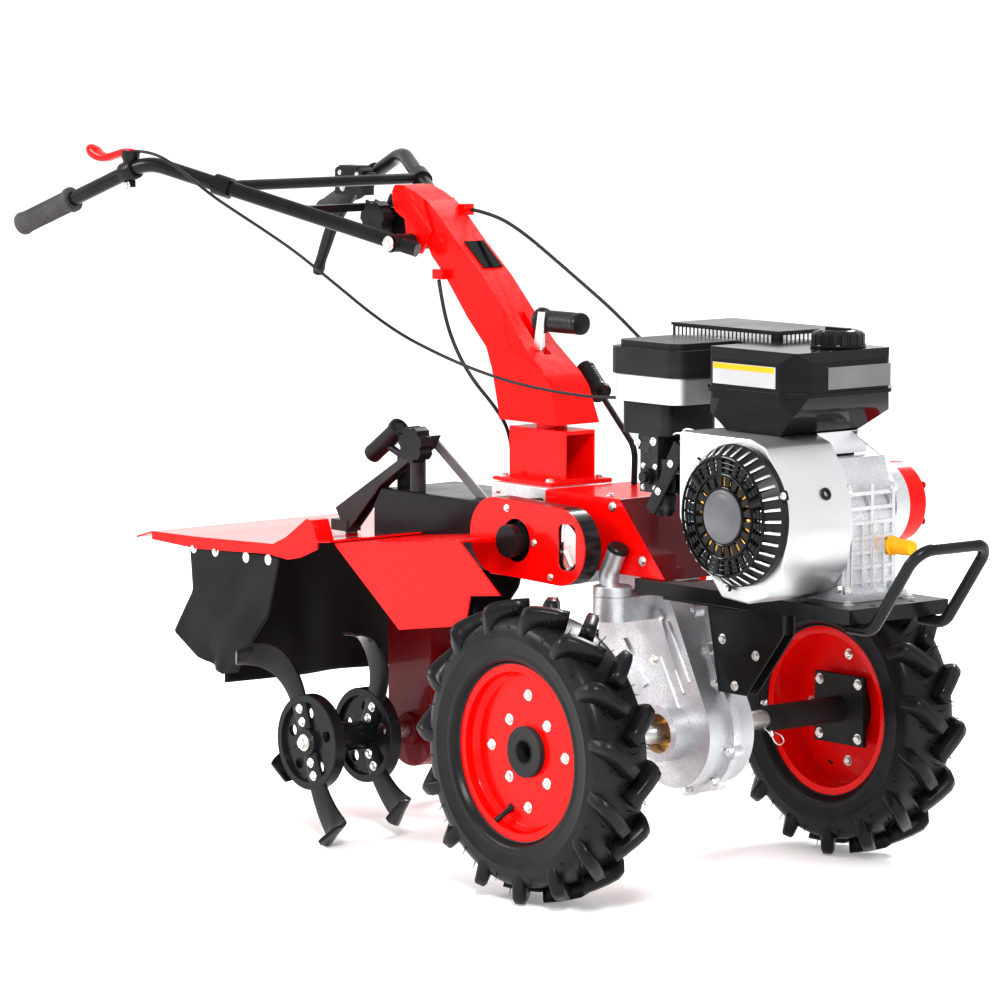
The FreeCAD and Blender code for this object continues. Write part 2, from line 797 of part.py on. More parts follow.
def box_between(x, y, z):
    """A plain box shape given by its two ends along each axis."""
    low = [float(ends[0]) for ends in (x, y, z)]
    high = [float(ends[1]) for ends in (x, y, z)]
    return Part.makeBox(high[0] - low[0], high[1] - low[1], high[2] - low[2], Vector(*low))


def make_filler_neck():
    """Oil filler: an open elbow pipe on a round flange at the case's shoulder."""
    up, wall, bend = Vector(0, 0, 1), float(D.sheet_wall), 24
    base = vector(D.neck_x, D.neck_y, D.neck_seat + D.seat_gap)
    flange = Part.makeCylinder(float(D.neck_boss), float(D.neck_flange), base, up)
    foot, elbow, mouth = (base + Vector(x, 0, z) for x, z in FILLER_ROUTE)
    pipe = swept_rod([foot, elbow, mouth], [bend], float(D.neck_pipe))
    past = mouth + (mouth - elbow).normalize() * wall
    inside = swept_rod([foot + up * wall, elbow, past], [bend], float(D.neck_pipe) - wall)
    keep(set_shape("filler_neck", flange.fuse([pipe]).cut(inside).removeSplitter()), "filler_neck")


make_gear_case()
make_filler_neck()


# ------------------------------------------------------------------ gearbox and red frame
def make_gearbox():
    """Cast box on top of the case; its front part sits between the frame's side plates."""
    inner = D.frame_half - D.sheet_wall - D.seat_gap
    split = D.frame_rear - 4
    seat = D.case_seat + D.seat_gap
    rear = new_body("gearbox_rear")
    pad(rear, "XZ_Plane", [(D.box_rear, D.frame_top), (split, D.frame_top),
                           (split, D.box_low), (D.box_rear, D.box_low)], -D.box_half, D.box_half)
    front = new_body("gearbox_front")
    under = D.frame_top - D.sheet_wall - D.seat_gap
    pad(front, "XZ_Plane", [(split, under), (D.box_front, under), (D.box_front, seat),
                            (D.head_x - 72, seat), (D.head_x - 86, D.box_low),
                            (split, D.box_low)], -inner, inner)
    keep(joined("gearbox", [rear, front]), "gearbox")


def make_chassis_frame():
    """Red sheet frame: two side plates, a top plate and a sloping front plate."""
    wall, half = D.sheet_wall, D.frame_half
    inner = half - wall
    low = D.tray_top + D.seat_gap
    sides = [(D.frame_rear, D.frame_top), (D.frame_front_top, D.frame_top),
             (D.frame_front_low, low), (D.frame_front_low - 64, low),
             (D.frame_rear + 50, low), (D.frame_rear, low + 70)]
    plates = []
    for name, side in SIDES:
        plate = new_body("frame_plate_" + name)
        low_y, high_y = (inner, half) if side > 0 else (-half, -inner)
        pad(plate, "XZ_Plane", sides, low_y, high_y)
        plates.append(plate)
    cover = new_body("frame_cover")
    pad(cover, "XZ_Plane",
        [(D.frame_rear, D.frame_top), (D.frame_front_top, D.frame_top),
         (D.frame_front_low, low), (D.frame_front_low - wall, low),
         (D.frame_front_top - wall, D.frame_top - wall), (D.frame_rear, D.frame_top - wall)],
        -inner - 1, inner + 1)
    keep(joined("chassis_frame", plates + [cover]), "chassis_frame")


make_gearbox()
make_chassis_frame()


# ------------------------------------------------------------------ engine tray and bumper
def make_engine_tray():
    """Two rails, the plate under the engine and the front member with its two bolt holes."""
    high_x = D.tray_front - 15
    low, high, half = D.tray_top - D.tray_depth, D.tray_top, D.tray_half
    inner = half - D.rail_width
    pieces = []
    for name, (near, far) in (("right", (-half, -inner)), ("left", (inner, half))):
        rail = new_body("rail_" + name)
        pad(rail, "YZ_Plane", [(near, low), (far, low), (far, high), (near, high)],
            D.tray_rear, D.tray_front)
        pieces.append(rail)
    pieces.append(block("engine_plate", (D.deck_rear, D.tray_front - 20), (-half, half),
                        (high - 6, high)))
    pieces.append(block("cross_member", (D.tray_front - 30, D.tray_front), (-half, half),
                        (low, high)))
    drills = []
    for name, side in SIDES:
        drills.append(rod("tray_drill_" + name, "Z",
                          (high_x, side * D.front_hole_y, low - 1), D.tray_depth + 2,
                          D.front_hole))
    whole = joined("tray_whole", pieces)
    keep(cut_from("engine_tray", whole, joined("tray_drills", drills)), "engine_tray")


def make_tray_bracket():
    """Black bracket that carries the tray: two plates that clamp the case's split flange."""
    top = D.tray_top - D.tray_depth - D.seat_gap
    half = D.ear_half + D.seat_gap
    thick, reach = D.bracket_wall, D.tray_half
    rear, front, low = D.bracket_rear, D.bracket_front, D.bracket_low
    points = [(rear, top), (front, top), (front, top - reach / 2), (front - 0.8 * reach, low),
              (rear + D.rail_width, low)]
    pieces = []
    for name, side in SIDES:
        plate = new_body("bracket_plate_" + name)
        low_y, high_y = (half, half + thick) if side > 0 else (-half - thick, -half)
        pad(plate, "XZ_Plane", points, low_y, high_y)
        pieces.append(plate)
    pieces.append(block("bracket_strip", (rear, front), (-reach, reach), (top - thick, top)))
    pieces.append(block("bracket_web", (front - 3 * thick, front - 2 * thick), (-half - 1, half + 1),
                        (top - reach / 2, top)))
    keep(joined("tray_bracket", pieces), "tray_bracket")


def make_bumper():
    """Bent tube hoop: its feet lie under the tray, its legs rise in front of it."""
    y = float(D.bumper_half)
    low = float(D.tray_top - D.tray_depth - D.bumper_radius - D.seat_gap)
    rear, foot = float(D.tray_front - D.rail_width), float(D.bumper_foot)
    tip_x, tip_z = float(D.bumper_x), float(D.bumper_z)
    points = [Vector(rear, -y, low), Vector(foot, -y, low), Vector(tip_x, -y, tip_z),
              Vector(tip_x, y, tip_z), Vector(foot, y, low), Vector(rear, y, low)]
    keep(set_shape("bumper", swept_rod(points, [30, 32, 32, 30], float(D.bumper_radius))),
         "bumper")


make_engine_tray()
make_tray_bracket()
make_bumper()


# ------------------------------------------------------------------ post and column
COLUMN_BASE = (-276, -420)          # front and rear of the column's foot
COLUMN_SIDE = (
    (-297, 745), (-314, 765), (-373, 810), (-416, 853), (-476, 911), (-545, 966), (-584, 1000),
    (-616, 1025), (-650, 1040), (-682, 1050), (-704, 1050), (-711, 1040), (-711, 1027),
    (-704, 1008), (-685, 998), (-643, 980), (-623, 962), (-608, 938), (-577, 911), (-520, 847),
    (-463, 799), (-445, 764), (-423, 700))
COLUMN_SLOT_X, COLUMN_SLOT_Z = (-420, -350), (770, 900)     # where the gear lever passes
CABLE_EARS = (("right", ((-592, -566), (-42, -24), (902.3, 918))),
              ("left", ((-606, -590), (24, 44), (1003, 1021))))
YOKE_EAR = ((-16, -18), (16, -18), (46, 20), (20, 72), (-30, 62))   # from the pivot


def make_post():
    """Hollow box post on a flange, open in front, with the column's neck on top."""
    base = D.frame_top + D.seat_gap
    flange_top = base + D.post_flange
    top = flange_top + D.post_height
    rear = D.post_front - D.post_length
    wall, half = D.sheet_wall, D.post_half
    flange = block("post_flange", (rear - 2, D.post_front + 4),
                   (-D.post_flange_half, D.post_flange_half), (base, flange_top))
    shell = new_body("post_box")
    pad(shell, "XY_Plane", [(rear, -half), (D.post_front, -half), (D.post_front, half),
                            (rear, half)], flange_top, top)
    space = block("post_space", (rear + 2 * wall, D.post_front + 1), (wall - half, half - wall),
                  (flange_top + wall, top - 2 * wall))
    neck = rod("post_neck", "Z", ((rear + D.post_front) / 2, 0, top), D.neck_gap,
               half - 2 * wall)
    keep(joined("post", [flange, cut_from("post_shell", shell, space), neck]), "post")


def make_column():
    """Gooseneck: the side outline, cut to the width that narrows upwards, with the yoke's ears."""
    low = D.frame_top + D.seat_gap + D.post_flange + D.post_height + D.neck_gap + D.seat_gap
    base_front, base_rear = COLUMN_BASE
    side = [(base_front, low)] + list(COLUMN_SIDE) + [(base_rear, low)]
    profile = new_body("column_side")
    wide = D.column_half_low + 1
    pad(profile, "XZ_Plane", side, -wide, wide)
    front = new_body("column_front")
    top, lower = D.column_half_top, D.column_half_low
    knee, shoulder, peak = low + D.column_knee, low + D.column_shoulder, D.column_peak + 1
    waist = lower - (lower - top) * 0.64
    pad(front, "YZ_Plane", [(lower, low - 1), (waist, knee), (top, shoulder), (top, peak),
                            (-top, peak), (-top, shoulder), (-waist, knee), (-lower, low - 1)],
        min(x for x, z in COLUMN_SIDE) - 1, base_front + 1)
    both = doc.addObject("Part::MultiCommon", "column_common")
    both.Shapes = [profile, front]
    slot_half = D.lever_half + D.seat_gap
    slot = block("column_slot", COLUMN_SLOT_X, (-slot_half, slot_half), COLUMN_SLOT_Z)
    pieces = [cut_from("column_body", both, slot)]
    for name, ear in CABLE_EARS:
        pieces.append(block("column_ear_" + name, *ear))
    x, z = on_bars(D.pivot_x)
    yoke = [(x + along, z + up) for along, up in YOKE_EAR]
    for name, side in SIDES:
        low_y, high_y = sorted((side * float(top - 1), side * float(top + D.ear_wall)))
        bore = cylinder_y(x, z, float(D.pivot_bolt + D.shaft_play), low_y - 1, high_y + 1)
        ear = plate_y(yoke, low_y, high_y).cut(bore)
        pieces.append(set_shape("column_yoke_" + name, ear))
    keep(joined("column", pieces), "column")


make_post()
make_column()


# ------------------------------------------------------------------ belt cover
def make_belt_cover():
    """Oval sheet cover with a round hole for the pulley's hub and a window beside it."""
    first = vector(D.belt_rear_x, 0, D.belt_rear_z)
    second = vector(D.belt_front_x, 0, D.belt_front_z)
    near, back, wall = float(D.belt_near), float(D.belt_back), float(D.sheet_wall)
    outer = float(D.belt_radius)
    shell = two_circle_slab(first, outer, second, outer, near, back)
    hollow = two_circle_slab(first, outer - wall, second, outer - wall, near + wall, back + 1)
    x, z = D.slot_x.value, D.slot_z.value
    hole = cylinder_y(D.pulley_x.value, D.pulley_z.value, float(D.pulley_hole), near - 1,
                      near + wall + 1)
    half_x, half_z, corner = float(D.slot_half_x), float(D.slot_half_z), float(D.slot_corner)
    openings = [hollow, hole]
    for side in (-1, 1):
        upper = vector(x + side * (half_x - corner), 0, z + half_z - corner)
        lower = vector(x + side * (half_x - corner), 0, z + corner - half_z)
        openings.append(two_circle_slab(upper, corner, lower, corner, near - 1, near + wall + 1))
    openings.append(box_between((x + corner - half_x, x + half_x - corner),
                                (near - 1, near + wall + 1), (z - half_z, z + half_z)))
    cover = shell.cut(openings)
    face = -float(D.frame_half + D.seat_gap)
    stay = 10
    for x, z in ((first.x + 3 * stay, first.z + outer - stay - wall),
                 (second.x - 2 * stay, second.z - outer + stay)):
        cover = cover.fuse(cylinder_y(x, z, stay, near + 1, face))
    keep(set_shape("belt_cover", cover.removeSplitter()), "belt_cover")


def make_pulley():
    """Belt pulley on its shaft, with the hub that stands out of the cover."""
    x, z = D.pulley_x.value, D.pulley_z.value
    near, back, wall = float(D.belt_near), float(D.belt_back), float(D.sheet_wall)
    hub = cylinder_y(x, z, float(D.pulley_hole) - 8, near - float(D.hub_stand_out), back)
    shaft = cylinder_y(x, z, float(D.pulley_shaft), back - 1, -float(D.frame_half + D.seat_gap))
    wheel = cylinder_y(x, z, float(D.pulley_radius), near + 4 * wall, back - wall)
    keep(set_shape("belt_pulley", hub.fuse([shaft, wheel]).removeSplitter()), "belt_pulley")


make_belt_cover()
make_pulley()


# ------------------------------------------------------------------ levers on the gearbox
def make_gear_lever():
    """Flat bar through the column's slot with a grip that points forward."""
    x, low, high = D.gear_lever_x, COLUMN_SLOT_Z[0] + 8, D.gear_grip_z + D.gear_grip_radius + 5
    bar = box_between((x - D.sheet_wall, x + D.sheet_wall), (-D.lever_half, D.lever_half),
                      (low, high))
    grip = Part.makeCylinder(float(D.gear_grip_radius), float(D.gear_grip_length),
                             vector(x, 0, D.gear_grip_z), Vector(1, 0, 0))
    keep(set_shape("gear_lever", bar.fuse(grip).removeSplitter()), "gear_lever")


def make_drive_lever():
    """Round rod from the frame's left side up to a leaning grip."""
    foot = vector(-215, 64, D.frame_top + D.seat_gap)
    bend, tip = foot + Vector(0, 2, 58), Vector(-318, 84, 726)
    rod_radius, grip_radius, grip_length, round_bend = 5, 15, 66, 40
    bar = swept_rod([foot, bend, tip], [round_bend], rod_radius)
    grip = Part.makeCylinder(grip_radius, grip_length, tip, (tip - bend).normalize())
    keep(set_shape("drive_lever", bar.fuse(grip).removeSplitter()), "drive_lever")


make_gear_lever()
make_drive_lever()


# ------------------------------------------------------------------ engine
FRONT_RIBS = 4
# how far behind the crankshaft each starts and ends, how much narrower than the crankcase, and
# half its height
ENGINE_STAGES = (("barrel", (240, 117, 22, 45)), ("head", (268, 239, 14, 47)),
                 ("rocker_cover", (290, 267, 24, 39)))


def make_engine_block():
    """Crankcase with its output boss and feet, finned cylinder, head and rocker cover."""
    low = D.tray_top + D.seat_gap
    x, front, half = D.crank_x, D.crank_x + D.crankcase_front, D.crankcase_half_y
    rear, back = x - D.crankcase_rear, D.cowl_back_y + D.seat_gap
    wall, top, slope = D.fin_wall, low + D.block_height, D.crankcase_slope
    crankcase = new_body("crankcase")
    pad(crankcase, "XZ_Plane", [(rear, low), (front, low), (front, top - slope),
                                (front - 0.3 * slope, top), (rear, top)], back, half)
    pieces = [crankcase]
    pieces.append(rod("output_boss", "Y", (x + D.output_forward, half - 1, D.crank_z),
                      D.output_face - half + 1, D.output_boss))
    foot = 4 * wall
    pieces.append(block("crankcase_foot", (rear - foot / 2, front + foot), (back, half + foot),
                        (low, low + foot)))
    for index in range(FRONT_RIBS):
        y = back + D.rib_pitch * (index + 0.6)
        pieces.append(block("front_rib_%d" % index, (front - 1, front + 2 * wall), (y, y + wall),
                            (low, top - slope - foot)))
    spine = low + D.barrel_height
    for name, (start, end, narrower, tall) in ENGINE_STAGES:
        inset = D.fin_reach if name == "rocker_cover" else 0
        pieces.append(block(name, (x - start, x - end), (back + inset, half - narrower),
                            (spine - tall, spine + tall)))
    start, end, narrower, tall = ENGINE_STAGES[0][1]
    for index in range(int((start - end) // D.fin_pitch.value)):
        at = x - start + D.fin_pitch * index + wall
        pieces.append(block("fin_%d" % index, (at, at + wall),
                            (back, half - narrower + D.fin_reach),
                            (spine - tall - D.fin_reach, spine + tall + D.fin_reach)))
    keep(joined("engine_block", pieces), "engine_block")


# from the crankshaft, forward and up
COWL_OUTLINE = ((-135, 114), (-135, -16), (-40, -127), (16, -131), (56, -117), (88, -81),
                (102, -31), (98, 20), (78, 70), (52, 104), (20, 114))


def make_cowl():
    """Blower housing: round in front, straight behind, with the fan's opening."""
    x, z = D.crank_x, D.crank_z
    cowl = new_body("cowl_solid")
    pad(cowl, "XZ_Plane", [(x + along, z + up) for along, up in COWL_OUTLINE], D.cowl_front_y,
        D.cowl_back_y, circles=[((x, z), D.starter_radius - 14)])
    keep(cowl, "blower_cowl")


def make_starter():
    """Recoil starter: a domed shell with two rings of slots round its blank middle."""
    radius, depth, wall = float(D.starter_radius), float(D.starter_depth), float(D.sheet_wall)
    start = float(D.cowl_front_y - D.seat_gap)
    middle = Vector(0, start, 0)
    away = Vector(0, -1, 0)

    def dome(shrink, deep):
        skirt = Part.makeCylinder(radius - shrink, 10, middle, away)
        cone = Part.makeCone(radius - shrink, radius - 22 - shrink, deep - 10,
                             middle + away * 10, away)
        return skirt.fuse(cone)

    shell = dome(0, depth).cut(dome(wall, depth - wall))
    slots = []
    for inner, outer, count in STARTER_RINGS:
        width = math.pi * inner / count
        slot = box_between((inner, outer), (start - depth - 1, start - 1), (-width / 2, width / 2))
        for index in range(count):
            slots.append(slot.rotated(middle, away, 360 * index / count))
    shell = shell.cut(slots).removeSplitter()
    shell.translate(vector(0, 0, D.crank_z))
    keep(set_shape("recoil_starter", shell), "recoil_starter", D.crank_x)


def make_output_cover():
    """Red end cover on the output side of the crankcase."""
    start, radius, bevel = D.output_face + D.seat_gap, D.cover_radius, D.cover_radius / 9
    end = start + D.cover_depth
    body = new_body("output_cover")
    turn(body, [(start, 0), (start, radius), (end - bevel, radius), (end, radius - bevel),
                (end, 0)])
    keep(body, "output_cover", D.crank_x + D.output_forward)
    bind(body, ".Placement.Base.z", D.crank_z)


TANK_FOOT_Y = (-30, 18)


def make_tank():
    """Tank with bevelled corners, a lip round its seam and a lower half that tapers in."""
    rear, front = D.tank_rear, D.tank_front
    right, left = D.tank_right, D.tank_left
    low, seam, high = D.tank_low, D.tank_seam, D.tank_high
    corner, lip = D.tank_corner, D.seam_lip

    def plan(name, grow, bottom, top):
        body = new_body(name)
        x0, x1, y0, y1 = rear - grow, front + grow, right - grow, left + grow
        pad(body, "XY_Plane", [(x0 + corner, y0), (x1 - corner, y0), (x1, y0 + corner),
                               (x1, y1 - corner), (x1 - corner, y1), (x0 + corner, y1),
                               (x0, y1 - corner), (x0, y0 + corner)], bottom, top)
        round_edges(body, Vector(0, 0, 1), corner / 2)
        return body

    outline = plan("tank_plan", 0, low, high)
    bevel, taper = D.tank_bevel, D.tank_taper
    side = new_body("tank_side")
    pad(side, "XZ_Plane", [(rear, high - bevel), (rear + bevel, high), (front - bevel, high),
                           (front, high - bevel), (front, seam),
                           (front - bevel, seam - 2 * bevel), (front - 2 * taper, low),
                           (rear + taper, low), (rear, seam - bevel)], right - 1, left + 1)
    across = new_body("tank_across")
    pad(across, "YZ_Plane", [(right, high - bevel), (right + bevel, high), (left - bevel, high),
                             (left, high - bevel), (left, seam - bevel), (left - taper, low),
                             (right + taper, low), (right, seam - bevel)], rear - 1, front + 1)
    shell = doc.addObject("Part::MultiCommon", "tank_shell")
    shell.Shapes = [outline, side, across]
    rim = plan("tank_lip", lip, seam - lip, seam + lip)
    base = D.tray_top + D.block_height + 2 * D.seat_gap
    foot = block("tank_foot", (rear + taper + bevel, front - 2 * taper - 1), TANK_FOOT_Y,
                 (base, low + 1))
    keep(joined("fuel_tank", [shell, rim, foot]), "fuel_tank")


def make_cap():
    """Fuel cap with flutes round its edge and a bevelled top."""
    start = float(D.tank_high + D.seat_gap)
    radius, height = float(D.cap_radius), float(D.cap_height)
    middle, up = Vector(0, float(D.cap_y), start), Vector(0, 0, 1)
    bevel = height / 5
    cap = Part.makeCylinder(radius, height - bevel, middle, up)
    cap = cap.fuse(Part.makeCone(radius, radius - bevel, bevel, middle + up * (height - bevel), up))
    groove = Part.makeCylinder(radius / 14, height, middle + Vector(radius, 0, 0), up)
    flutes = [groove.rotated(middle, up, 360 * index / CAP_FLUTES) for index in range(CAP_FLUTES)]
    keep(set_shape("fuel_cap", cap.cut(flutes).removeSplitter()), "fuel_cap", D.cap_x)


make_engine_block()
make_cowl()
make_starter()
make_output_cover()
make_tank()
make_cap()


# the ends along X, Y and Z, and the radius of the upright corners
CLEANER_STAGES = (("base", ((-16, 92), (-142, -34), (704, 753), 16)),
                  ("core", ((2, 96), (-118, -30), (752, 796), 12)),
                  ("lid", ((-34, 128), (-154, 4), (795, 836), 26)),
                  ("crown", ((-24, 118), (-144, -6), (835, 846), 22)))
CLEANER_BAND = ((-30, 124), (-150, 0), (753, 795), 24)


def make_air_cleaner():
    """Air cleaner over the carburettor: black body and lid with the bright band between them."""
    wall = D.sheet_wall

    def rounded(name, x, y, z, radius):
        body = new_body("cleaner_" + name)
        pad(body, "XY_Plane", [(x[0], y[0]), (x[1], y[0]), (x[1], y[1]), (x[0], y[1])], z[0], z[1])
        round_edges(body, Vector(0, 0, 1), radius)
        return body

    stages = [rounded(name, *sizes) for name, sizes in CLEANER_STAGES]
    keep(joined("air_cleaner", stages), "air_cleaner")
    x, y, (low, high), radius = CLEANER_BAND
    outer = rounded("outside", x, y, (low + D.seat_gap, high - D.seat_gap), radius)
    inner = rounded("inside", (x[0] + wall, x[1] - wall), (y[0] + wall, y[1] - wall),
                    (low - 1, high + 1), radius - wall)
    keep(cut_from("cleaner_band", outer, inner), "cleaner_band")


def make_carburettor():
    """Intake block on the engine, its throat and the riser up to the air cleaner."""
    back, top = D.cowl_back_y, CLEANER_STAGES[0][1][2][0] - D.seat_gap
    side = block("intake_block", (24, 70), (back - 40, back), (612, 664))
    throat = rod("intake_throat", "Y", (46, back - 66, 640), 30, 24)
    riser = block("intake_riser", (26, 66), (back - 80, back - 36), (616, top))
    lever = block("throttle_arm", (66, 96), (back - 76, back - 70), (618, 668))
    keep(joined("carburettor", [side, throat, riser, lever]), "carburettor")


GUARD = ((-58, 180), (5, 130), (742, 862))      # outside of the muffler's guard along X, Y and Z


def make_muffler():
    """Muffler can inside its guard, on the pipe from the head."""
    wall, gap = D.guard_wall, D.guard_clear
    x, y, z = GUARD
    can = block("muffler_can", (x[0] + wall + gap, x[1] - wall - gap / 2),
                (y[0] + wall + gap / 2, y[1] - wall - gap),
                (z[0] + gap, z[1] - wall - D.seat_gap))
    head_top = D.tray_top + D.seat_gap + D.barrel_height + ENGINE_STAGES[1][1][3]
    pipe = rod("exhaust_pipe", "Z", (50, 40, head_top + D.seat_gap), z[0] + 2 * gap - head_top, 14)
    keep(joined("muffler", [can, pipe]), "muffler")


def make_muffler_guard():
    """Sheet box open below, held round the muffler, with a row of slots under its top plate."""
    wall = D.guard_wall
    x, y, z = GUARD
    shell = block("guard_shell", x, y, (z[0], z[1] - wall + 1))
    inner = block("guard_inner", (x[0] + wall, x[1] - wall), (y[0] + wall, y[1] - wall),
                  (z[0] - 1, z[1] - wall))
    slots = []
    band = (z[1] - 3 * wall - D.slot_band, z[1] - 3 * wall)
    for index in range(math.ceil((x[1] - x[0]) / BAND_PITCH) - 2):
        at = x[0] + BAND_PITCH * (index + 1)
        slots.append(block("side_slot_%d" % index, (at, at + BAND_SLOT), (y[0] - 1, y[1] + 1),
                           band))
    for index in range(math.ceil((y[1] - y[0]) / BAND_PITCH) - 2):
        at = y[0] + BAND_PITCH * (index + 1)
        slots.append(block("end_slot_%d" % index, (x[0] - 1, x[1] + 1), (at, at + BAND_SLOT),
                           band))
    top = block("guard_top", (x[0] - 2, x[1] + 2), (y[0] - 2, y[1] + 2), (z[1] - wall, z[1]))
    walls = cut_from("guard_walls", shell, joined("guard_openings", [inner] + slots))
    keep(joined("muffler_guard", [walls, top]), "muffler_guard")


DIPSTICK = (42, 553, 48, 11)        # its y, its z, its length and its radius


def make_dipstick():
    """Oil filler plug on the crankcase's front."""
    stick = rod("dipstick", "X", (0, DIPSTICK[0], DIPSTICK[1]), DIPSTICK[2], DIPSTICK[3])
    keep(stick, "dipstick", D.crank_x + D.crankcase_front + D.seat_gap)


make_air_cleaner()
make_carburettor()
make_muffler()
make_muffler_guard()
make_dipstick()


# ------------------------------------------------------------------ tiller unit
def make_tiller_housing():
    front = D.box_rear - D.seat_gap
    body = new_body("tiller_housing")
    half = D.housing_half
    pad(body, "XZ_Plane", [(D.housing_rear, D.housing_low), (front, D.housing_low),
                           (front, D.housing_top), (D.housing_rear + 20, D.housing_top),
                           (D.housing_rear, D.housing_top - 30)], -half, half)
    keep(body, "tiller_housing")


def make_drive_leg():
    """Red leg from the housing down to the rotor shaft."""
    top = D.housing_low - D.seat_gap
    x, z = float(D.rotor_x), float(D.rotor_z)
    half, collar = float(D.leg_half), float(D.leg_half + D.disc_wall)
    foot = cylinder_y(x, z, float(D.leg_radius), -half, half)
    neck = box_between((D.leg_rear, D.leg_front), (-half, half), (z, top))
    ring = cylinder_y(x, z, 2 * float(D.rotor_shaft), -collar, collar)
    bore = cylinder_y(x, z, float(D.rotor_shaft + D.shaft_play), -collar - 1, collar + 1)
    leg = foot.fuse([neck, ring]).cut(bore).removeSplitter()
    keep(set_shape("drive_leg", leg), "drive_leg")


def make_drive_tube():
    """Slanting tube that carries the drive from the case back to the leg."""
    front, rear = float(D.socket_x - D.seat_gap), float(D.leg_front + D.seat_gap)
    radius, spare = float(D.drive_tube), 2 * float(D.drive_tube)
    start = Vector(front + spare, 0, float(D.socket_z))
    end = Vector(rear - spare, 0, float(D.leg_tube_z))
    bar = Part.makeCylinder(radius, (end - start).Length, start, end - start)
    span = box_between((rear, front), (-spare, spare), (0, D.housing_top))
    keep(set_shape("drive_tube", bar.common(span)), "drive_tube")


# lower edge of the fenders from front to rear, and of the hood's rims
FENDER_EDGE = ((-171, 444), (-244, 436), (-256, 388), (-421, 364))
RIM_EDGE = ((-606, 476), (-652, 458), (-684, 452), (-739, 456), (-934, 446))


def make_shield():
    """Red deck behind the wheels with a fender down each side."""
    wall, half = D.sheet_wall, D.shield_half
    opening = D.housing_half + D.seat_gap
    parts = []
    for name, side in SIDES:
        deck = new_body("deck_" + name)
        low_y, high_y = (opening, half) if side > 0 else (-half, -opening)
        pad(deck, "XZ_Plane", [(D.deck_back, D.deck_back_z), (D.deck_fore, D.deck_fore_z),
                               (D.deck_fore, D.deck_fore_z - wall),
                               (D.deck_back, D.deck_back_z - wall)], low_y, high_y)
        fender = new_body("fender_" + name)
        low_y, high_y = (half - wall, half) if side > 0 else (-half, wall - half)
        pad(fender, "XZ_Plane", [(D.deck_back, D.deck_back_z), (D.deck_fore, D.deck_fore_z)]
            + list(FENDER_EDGE) + [(D.deck_back, D.deck_back_z - wall)], low_y, high_y)
        parts += [deck, fender]
    under = D.box_low - D.seat_gap
    strap = (D.cut_back - D.strap_width, D.cut_back - 1)
    for name, side in SIDES:
        ends = (opening, opening + wall) if side > 0 else (-opening - wall, -opening)
        parts.append(block("shield_cheek_" + name, strap, ends,
                           (under - wall, D.deck_fore_z - D.cheek_drop)))
    parts.append(block("shield_strap", strap, (-opening - 1, opening + 1), (under - wall, under)))
    space = block("belt_space", (D.cut_back, D.deck_fore + 1), (-D.cut_half, D.cut_half),
                  (D.deck_back_z, D.deck_fore_z + 1))
    keep(cut_from("tiller_shield", joined("shield_whole", parts), space), "tiller_shield")


def make_hood():
    """Rear hood: a folded sheet with a rim down each side."""
    wall, half = D.sheet_wall, D.hood_half
    opening = D.housing_half + D.seat_gap
    lap = D.deck_back_z + wall + D.seat_gap
    fold = (D.hood_rear + D.lip_width, D.hood_mid_z - 2)
    reach = D.lap_reach
    top = [(D.hood_rear - reach / 2, D.hood_mid_z - reach), fold, (D.hood_mid_x, D.hood_mid_z),
           (D.hood_knee_x, D.hood_knee_z),
           (D.deck_back - reach, lap), (D.deck_back + reach, lap + wall)]
    under = [(x, as_size(z) - wall) for x, z in reversed(top)]
    panel = new_body("hood_panel")
    pad(panel, "XZ_Plane", top + under, -half, half)
    notch = [(D.housing_rear - D.seat_gap, opening), (D.deck_back + 20, opening),
             (D.deck_back + 20, -opening), (D.housing_rear - D.seat_gap, -opening)]
    cut_through(panel, "XY_Plane", notch)
    pieces = [panel]
    crown_x = D.deck_back - D.crest_width
    hump = [(D.hood_knee_x, D.hood_knee_z),
            (D.hood_knee_x + D.crest_width, D.hood_knee_z + reach),
            (crown_x - reach, D.crest_top), (crown_x, D.crest_top - 1), (crown_x + reach, lap)]
    for name, side in SIDES:
        rim = new_body("hood_rim_" + name)
        low_y, high_y = (half - wall, half) if side > 0 else (-half, wall - half)
        pad(rim, "XZ_Plane", [fold, (D.hood_mid_x, D.hood_mid_z)] + hump + list(RIM_EDGE)
            + [(fold[0], fold[1] - reach)], low_y, high_y)
        pieces.append(rim)
        crest = new_body("hood_crest_" + name)
        low_y, high_y = (half - D.crest_width, half) if side > 0 else (-half, D.crest_width - half)
        below = [(x, as_size(z) - wall) for x, z in reversed(hump)]
        pad(crest, "XZ_Plane", hump + below, low_y, high_y)
        pieces.append(crest)
    keep(joined("hood", pieces), "hood")


# rear, lower and front edges of the side flaps, which stay clear of the tines' circle
FLAP_EDGE = ((-957, 461), (-945, 375), (-997, 301), (-935, 265), (-862, 244), (-832, 250),
             (-792, 300), (-740, 356), (-712, 452))


